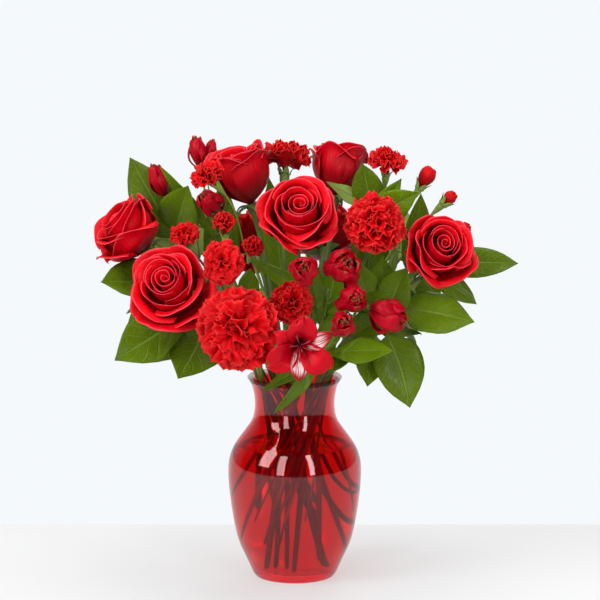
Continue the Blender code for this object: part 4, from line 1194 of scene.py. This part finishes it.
def leafy_stem(node, leaves, style, looks, slot, thickness, seed):
    """A sprig's stem, cleared of its plates, and its leaves as sheets with a stalk and a rib."""
    mesh = welded(node)
    blades, stalks = Sheets(), Sheets()
    plates = []
    reach = np.linspace(0.0, STALK_REACH, 14)
    for number, leaf in enumerate(leaves):
        tip, face = leaf[:3], leaf[3:]
        rng = np.random.default_rng(seed + number)
        rings = leaf_rings(mesh, tip)
        line = leaf_line(rings)
        blades.grid(*leaf_sheet(line, face, style, rng))
        way = unit(line[2] - line[0])
        upper = unit(np.cross(np.cross(way, face), way))
        rib = curve_point(*line[:3], reach) - 0.45 * MM * upper
        thin = 1.0 - 0.85 * reach / STALK_REACH
        stalks.body(tube(rib, style.stalk * thin, THREAD_SIDES))
        plates += [v for ring in rings for v in ring]
    bmesh.ops.delete(mesh, geom=plates, context="VERTS")
    bmesh.ops.holes_fill(mesh, edges=mesh.edges, sides=0)
    bmesh.ops.recalc_face_normals(mesh, faces=mesh.faces)
    wood = bpy.data.meshes.new(f"{node}_wood")
    mesh.to_mesh(wood)
    mesh.free()
    wood.materials.append(looks[0])
    wood.shade_smooth()
    stem = linked(f"{node}_wood", wood)
    rounded(stem)
    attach(stem, "root")
    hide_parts(node)
    blades.piece(f"{node}_leaves", looks[1:], slot, thickness, (), 1)
    stalks.piece(f"{node}_stalks", looks[:1], slot)


class BOUQUET_OT_foliage(Operator):
    """Nine salal sprigs with glossy veined leaves, and the alstroemerias' softer leaves."""

    bl_idname = "bouquet.foliage"
    bl_label = "Leaves"

    def execute(self, context):
        settings = context.scene.bouquet.foliage
        upper = leaf_material("salal_upper", settings.leaf, settings.vein, SALAL_UPPER)
        pale, fresh = srgb(168, 184, 128), srgb(150, 182, 88)
        lower = leaf_material("salal_lower", settings.underside, pale, SALAL_LOWER)
        young = leaf_material("alstroemeria_leaf", settings.young_leaf, fresh, YOUNG_LEAF)
        twig = stem_material("salal_twig", srgb(104, 104, 48), srgb(120, 74, 40))
        soft = stem_material("alstroemeria_stem", srgb(112, 146, 48), srgb(140, 120, 60))
        for kind, table, style, looks, slot in (
            ("salal", SALAL_LEAVES, SALAL_STYLE, (twig, upper, lower), "leaf_green"),
            ("alstroemeria_stem", ALSTROEMERIA_LEAVES, YOUNG_STYLE, (soft, young, young),
             "alstroemeria_green"),
        ):
            for number, (name, leaves) in enumerate(table.items()):
                seed = SEEDS[kind] + LEAF_SEEDS * number
                leafy_stem(
                    f"{kind}_{name}", leaves, style, looks, slot, settings.thickness, seed
                )
        return {"FINISHED"}


def dress(node, material):
    """A node of the frame, rounded and given its material."""
    piece = NODES[node]
    piece.modifiers.new("weld", "WELD").merge_threshold = SAME_PLACE
    rounded(piece)
    piece.data.materials.clear()
    piece.data.materials.append(material)


class BOUQUET_OT_stems(Operator):
    """The stems of roses and carnations, which are the frame's own."""

    bl_idname = "bouquet.stems"
    bl_label = "Stems"

    def execute(self, context):
        settings = context.scene.bouquet.foliage
        for look, kind, names, shown, warm in (
            ("rose_stem", "rose_stem", ROSES, settings.stem, srgb(104, 70, 44)),
            ("carnation_stem", "carnation_stem", CARNATIONS, settings.stem, srgb(134, 150, 84)),
            ("mini_carnation_stem", "mini_spray_stem", MINIS, settings.spray, srgb(160, 172, 84)),
        ):
            material = stem_material(look, shown, warm)
            for name in names:
                dress(f"{kind}_{name}", material)
        return {"FINISHED"}


# The stage

def plane(name, low, high, height, material):
    """A flat stage surface."""
    mesh = bpy.data.meshes.new(name)
    corners = (low, (high[0], low[1]), high, (low[0], high[1]))
    mesh.from_pydata([(*corner, height) for corner in corners], [], [(0, 1, 2, 3)])
    mesh.materials.append(material)
    piece = linked(name, mesh)


def softbox(name, place, size, energy):
    """A rectangular studio lamp."""
    data = bpy.data.lights.new(name, "AREA")
    data.shape = "RECTANGLE"
    data.size, data.size_y = size
    data.energy = energy
    lamp = linked(name, data)
    lamp.location = place
    lamp.rotation_euler = (Vector(LAMP_AIM) - Vector(place)).to_track_quat("-Z", "Y").to_euler()


def studio_world(shown):
    """A pale surround. What the object mirrors of it is bright behind it and dim in front."""
    recipe = Recipe("studio", "World")
    heading = recipe.node("TexCoord", output="Generated")
    heading = recipe.node("SeparateXYZ", {0: heading}, "Y")
    mirrored = recipe.ramp(heading, 0.25, 0.95, 0.05, 0.7, "LINEAR")
    level = recipe.ramp(recipe.ray("Glossy"), 0.0, 1.0, 0.30, mirrored, "LINEAR")
    lit = recipe.node("Background", {"Color": (0.95, 0.97, 1.0), "Strength": level})
    seen = recipe.node("Background", {"Color": shown})
    either = recipe.math("MAXIMUM", recipe.ray("Camera"), recipe.ray("Transmission"))
    bpy.context.scene.world = recipe.finish(lit, seen, either)


def table_material(shown):
    """A pale table, a little brighter than the lamps make it."""
    recipe = Recipe("table")
    body = recipe.mix(recipe.noise(3.0), shown, scaled(shown, 0.985))
    return recipe.finish(recipe.surface(
        recipe.mix(0.5, body, BLACK), 0.55, Specular_IOR_Level=0.25, Emission_Color=shown,
        Emission_Strength=0.45,
    ))


def backdrop_material(shown):
    """A bright even surface that gives less light than it shows."""
    recipe = Recipe("sweep")
    return recipe.finish(recipe.surface(
        BLACK, 0.5, Specular_IOR_Level=0.0, Emission_Color=shown,
        Emission_Strength=recipe.ramp(recipe.ray("Diffuse"), 0.0, 1.0, 1.0, 0.3),
    ))


def make_camera():
    """The photograph's camera: a long lens, a little above the table."""
    data = bpy.data.cameras.new("camera")
    data.lens = CAMERA_LENS
    data.clip_start, data.clip_end = 0.1, 60.0
    camera = linked("camera", data)
    forward = Vector((0.0, math.cos(CAMERA_ELEVATION), -math.sin(CAMERA_ELEVATION)))
    camera.location = Vector(CAMERA_TARGET) - CAMERA_DISTANCE * forward
    camera.rotation_euler = forward.to_track_quat("-Z", "Y").to_euler()
    bpy.context.scene.camera = camera


class BOUQUET_OT_stage(Operator):
    """The pale table and backdrop, the soft lamps and the camera."""

    bl_idname = "bouquet.stage"
    bl_label = "Stage"

    def execute(self, context):
        settings = context.scene.bouquet.stage
        table, sweep = table_material(settings.floor), backdrop_material(settings.backdrop)
        plane("table_top", (-1.5, -1.9), (1.5, TABLE_BACK), 0.0, table)
        plane("backdrop_floor", (-12.0, -12.0), (12.0, 12.0), -0.02, sweep)
        softbox("key", (-2.1, -1.35, 1.9), (1.1, 2.1), settings.key)
        softbox("left_strip", (-1.05, -2.3, 1.3), (0.62, 2.3), settings.strips)
        softbox("right_strip", (1.25, -2.1, 1.3), (0.42, 2.3), settings.strips)
        softbox("top", (0.1, 0.1, 2.6), (2.0, 1.6), settings.top)
        softbox("back", (0.9, 2.2, 1.8), (1.2, 1.2), settings.back)
        studio_world(settings.backdrop)
        make_camera()
        scene = context.scene
        scene.view_settings.view_transform = "Standard"
        scene.cycles.transmission_bounces = 16
        scene.cycles.max_bounces = 20
        scene.cycles.transparent_max_bounces = 16
        return {"FINISHED"}


class BOUQUET_PT_panel(Panel):
    """Lists the pieces and their settings."""

    bl_idname = "BOUQUET_PT_panel"
    bl_label = "Bouquet"
    bl_space_type = "VIEW_3D"
    bl_region_type = "UI"
    bl_category = "Bouquet"

    def draw(self, context):
        settings = context.scene.bouquet
        for operator, group in STEPS:
            box = self.layout.box()
            box.operator(operator.bl_idname)
            if group:
                part = getattr(settings, group)
                for key in part.__annotations__:
                    box.prop(part, key)


STEPS = (
    (BOUQUET_OT_stage, "stage"), (BOUQUET_OT_vase, "glass"), (BOUQUET_OT_water, ""),
    (BOUQUET_OT_stems, ""), (BOUQUET_OT_foliage, "foliage"), (BOUQUET_OT_roses, "rose"),
    (BOUQUET_OT_carnations, "carnation"), (BOUQUET_OT_alstroemerias, "alstroemeria"),
)
SETTING_CLASSES = (
    GlassSettings, RoseSettings, CarnationSettings, AlstroemeriaSettings, FoliageSettings,
    StageSettings, BouquetSettings,
)


def register():
    """Makes the settings, operators and panel known to Blender."""
    for thing in (*SETTING_CLASSES, *(operator for operator, _ in STEPS), BOUQUET_PT_panel):
        bpy.utils.register_class(thing)
    bpy.types.Scene.bouquet = PointerProperty(type=BouquetSettings)


def unregister():
    """Takes them away again."""
    del bpy.types.Scene.bouquet
    for thing in (BOUQUET_PT_panel, *(operator for operator, _ in STEPS), *SETTING_CLASSES[::-1]):
        bpy.utils.unregister_class(thing)


def main():
    """Builds the whole arrangement."""
    register()
    for operator, _ in STEPS:
        group, name = operator.bl_idname.split(".")
        getattr(getattr(bpy.ops, group), name)()
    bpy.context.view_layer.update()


if __name__ == "__main__":
    main()
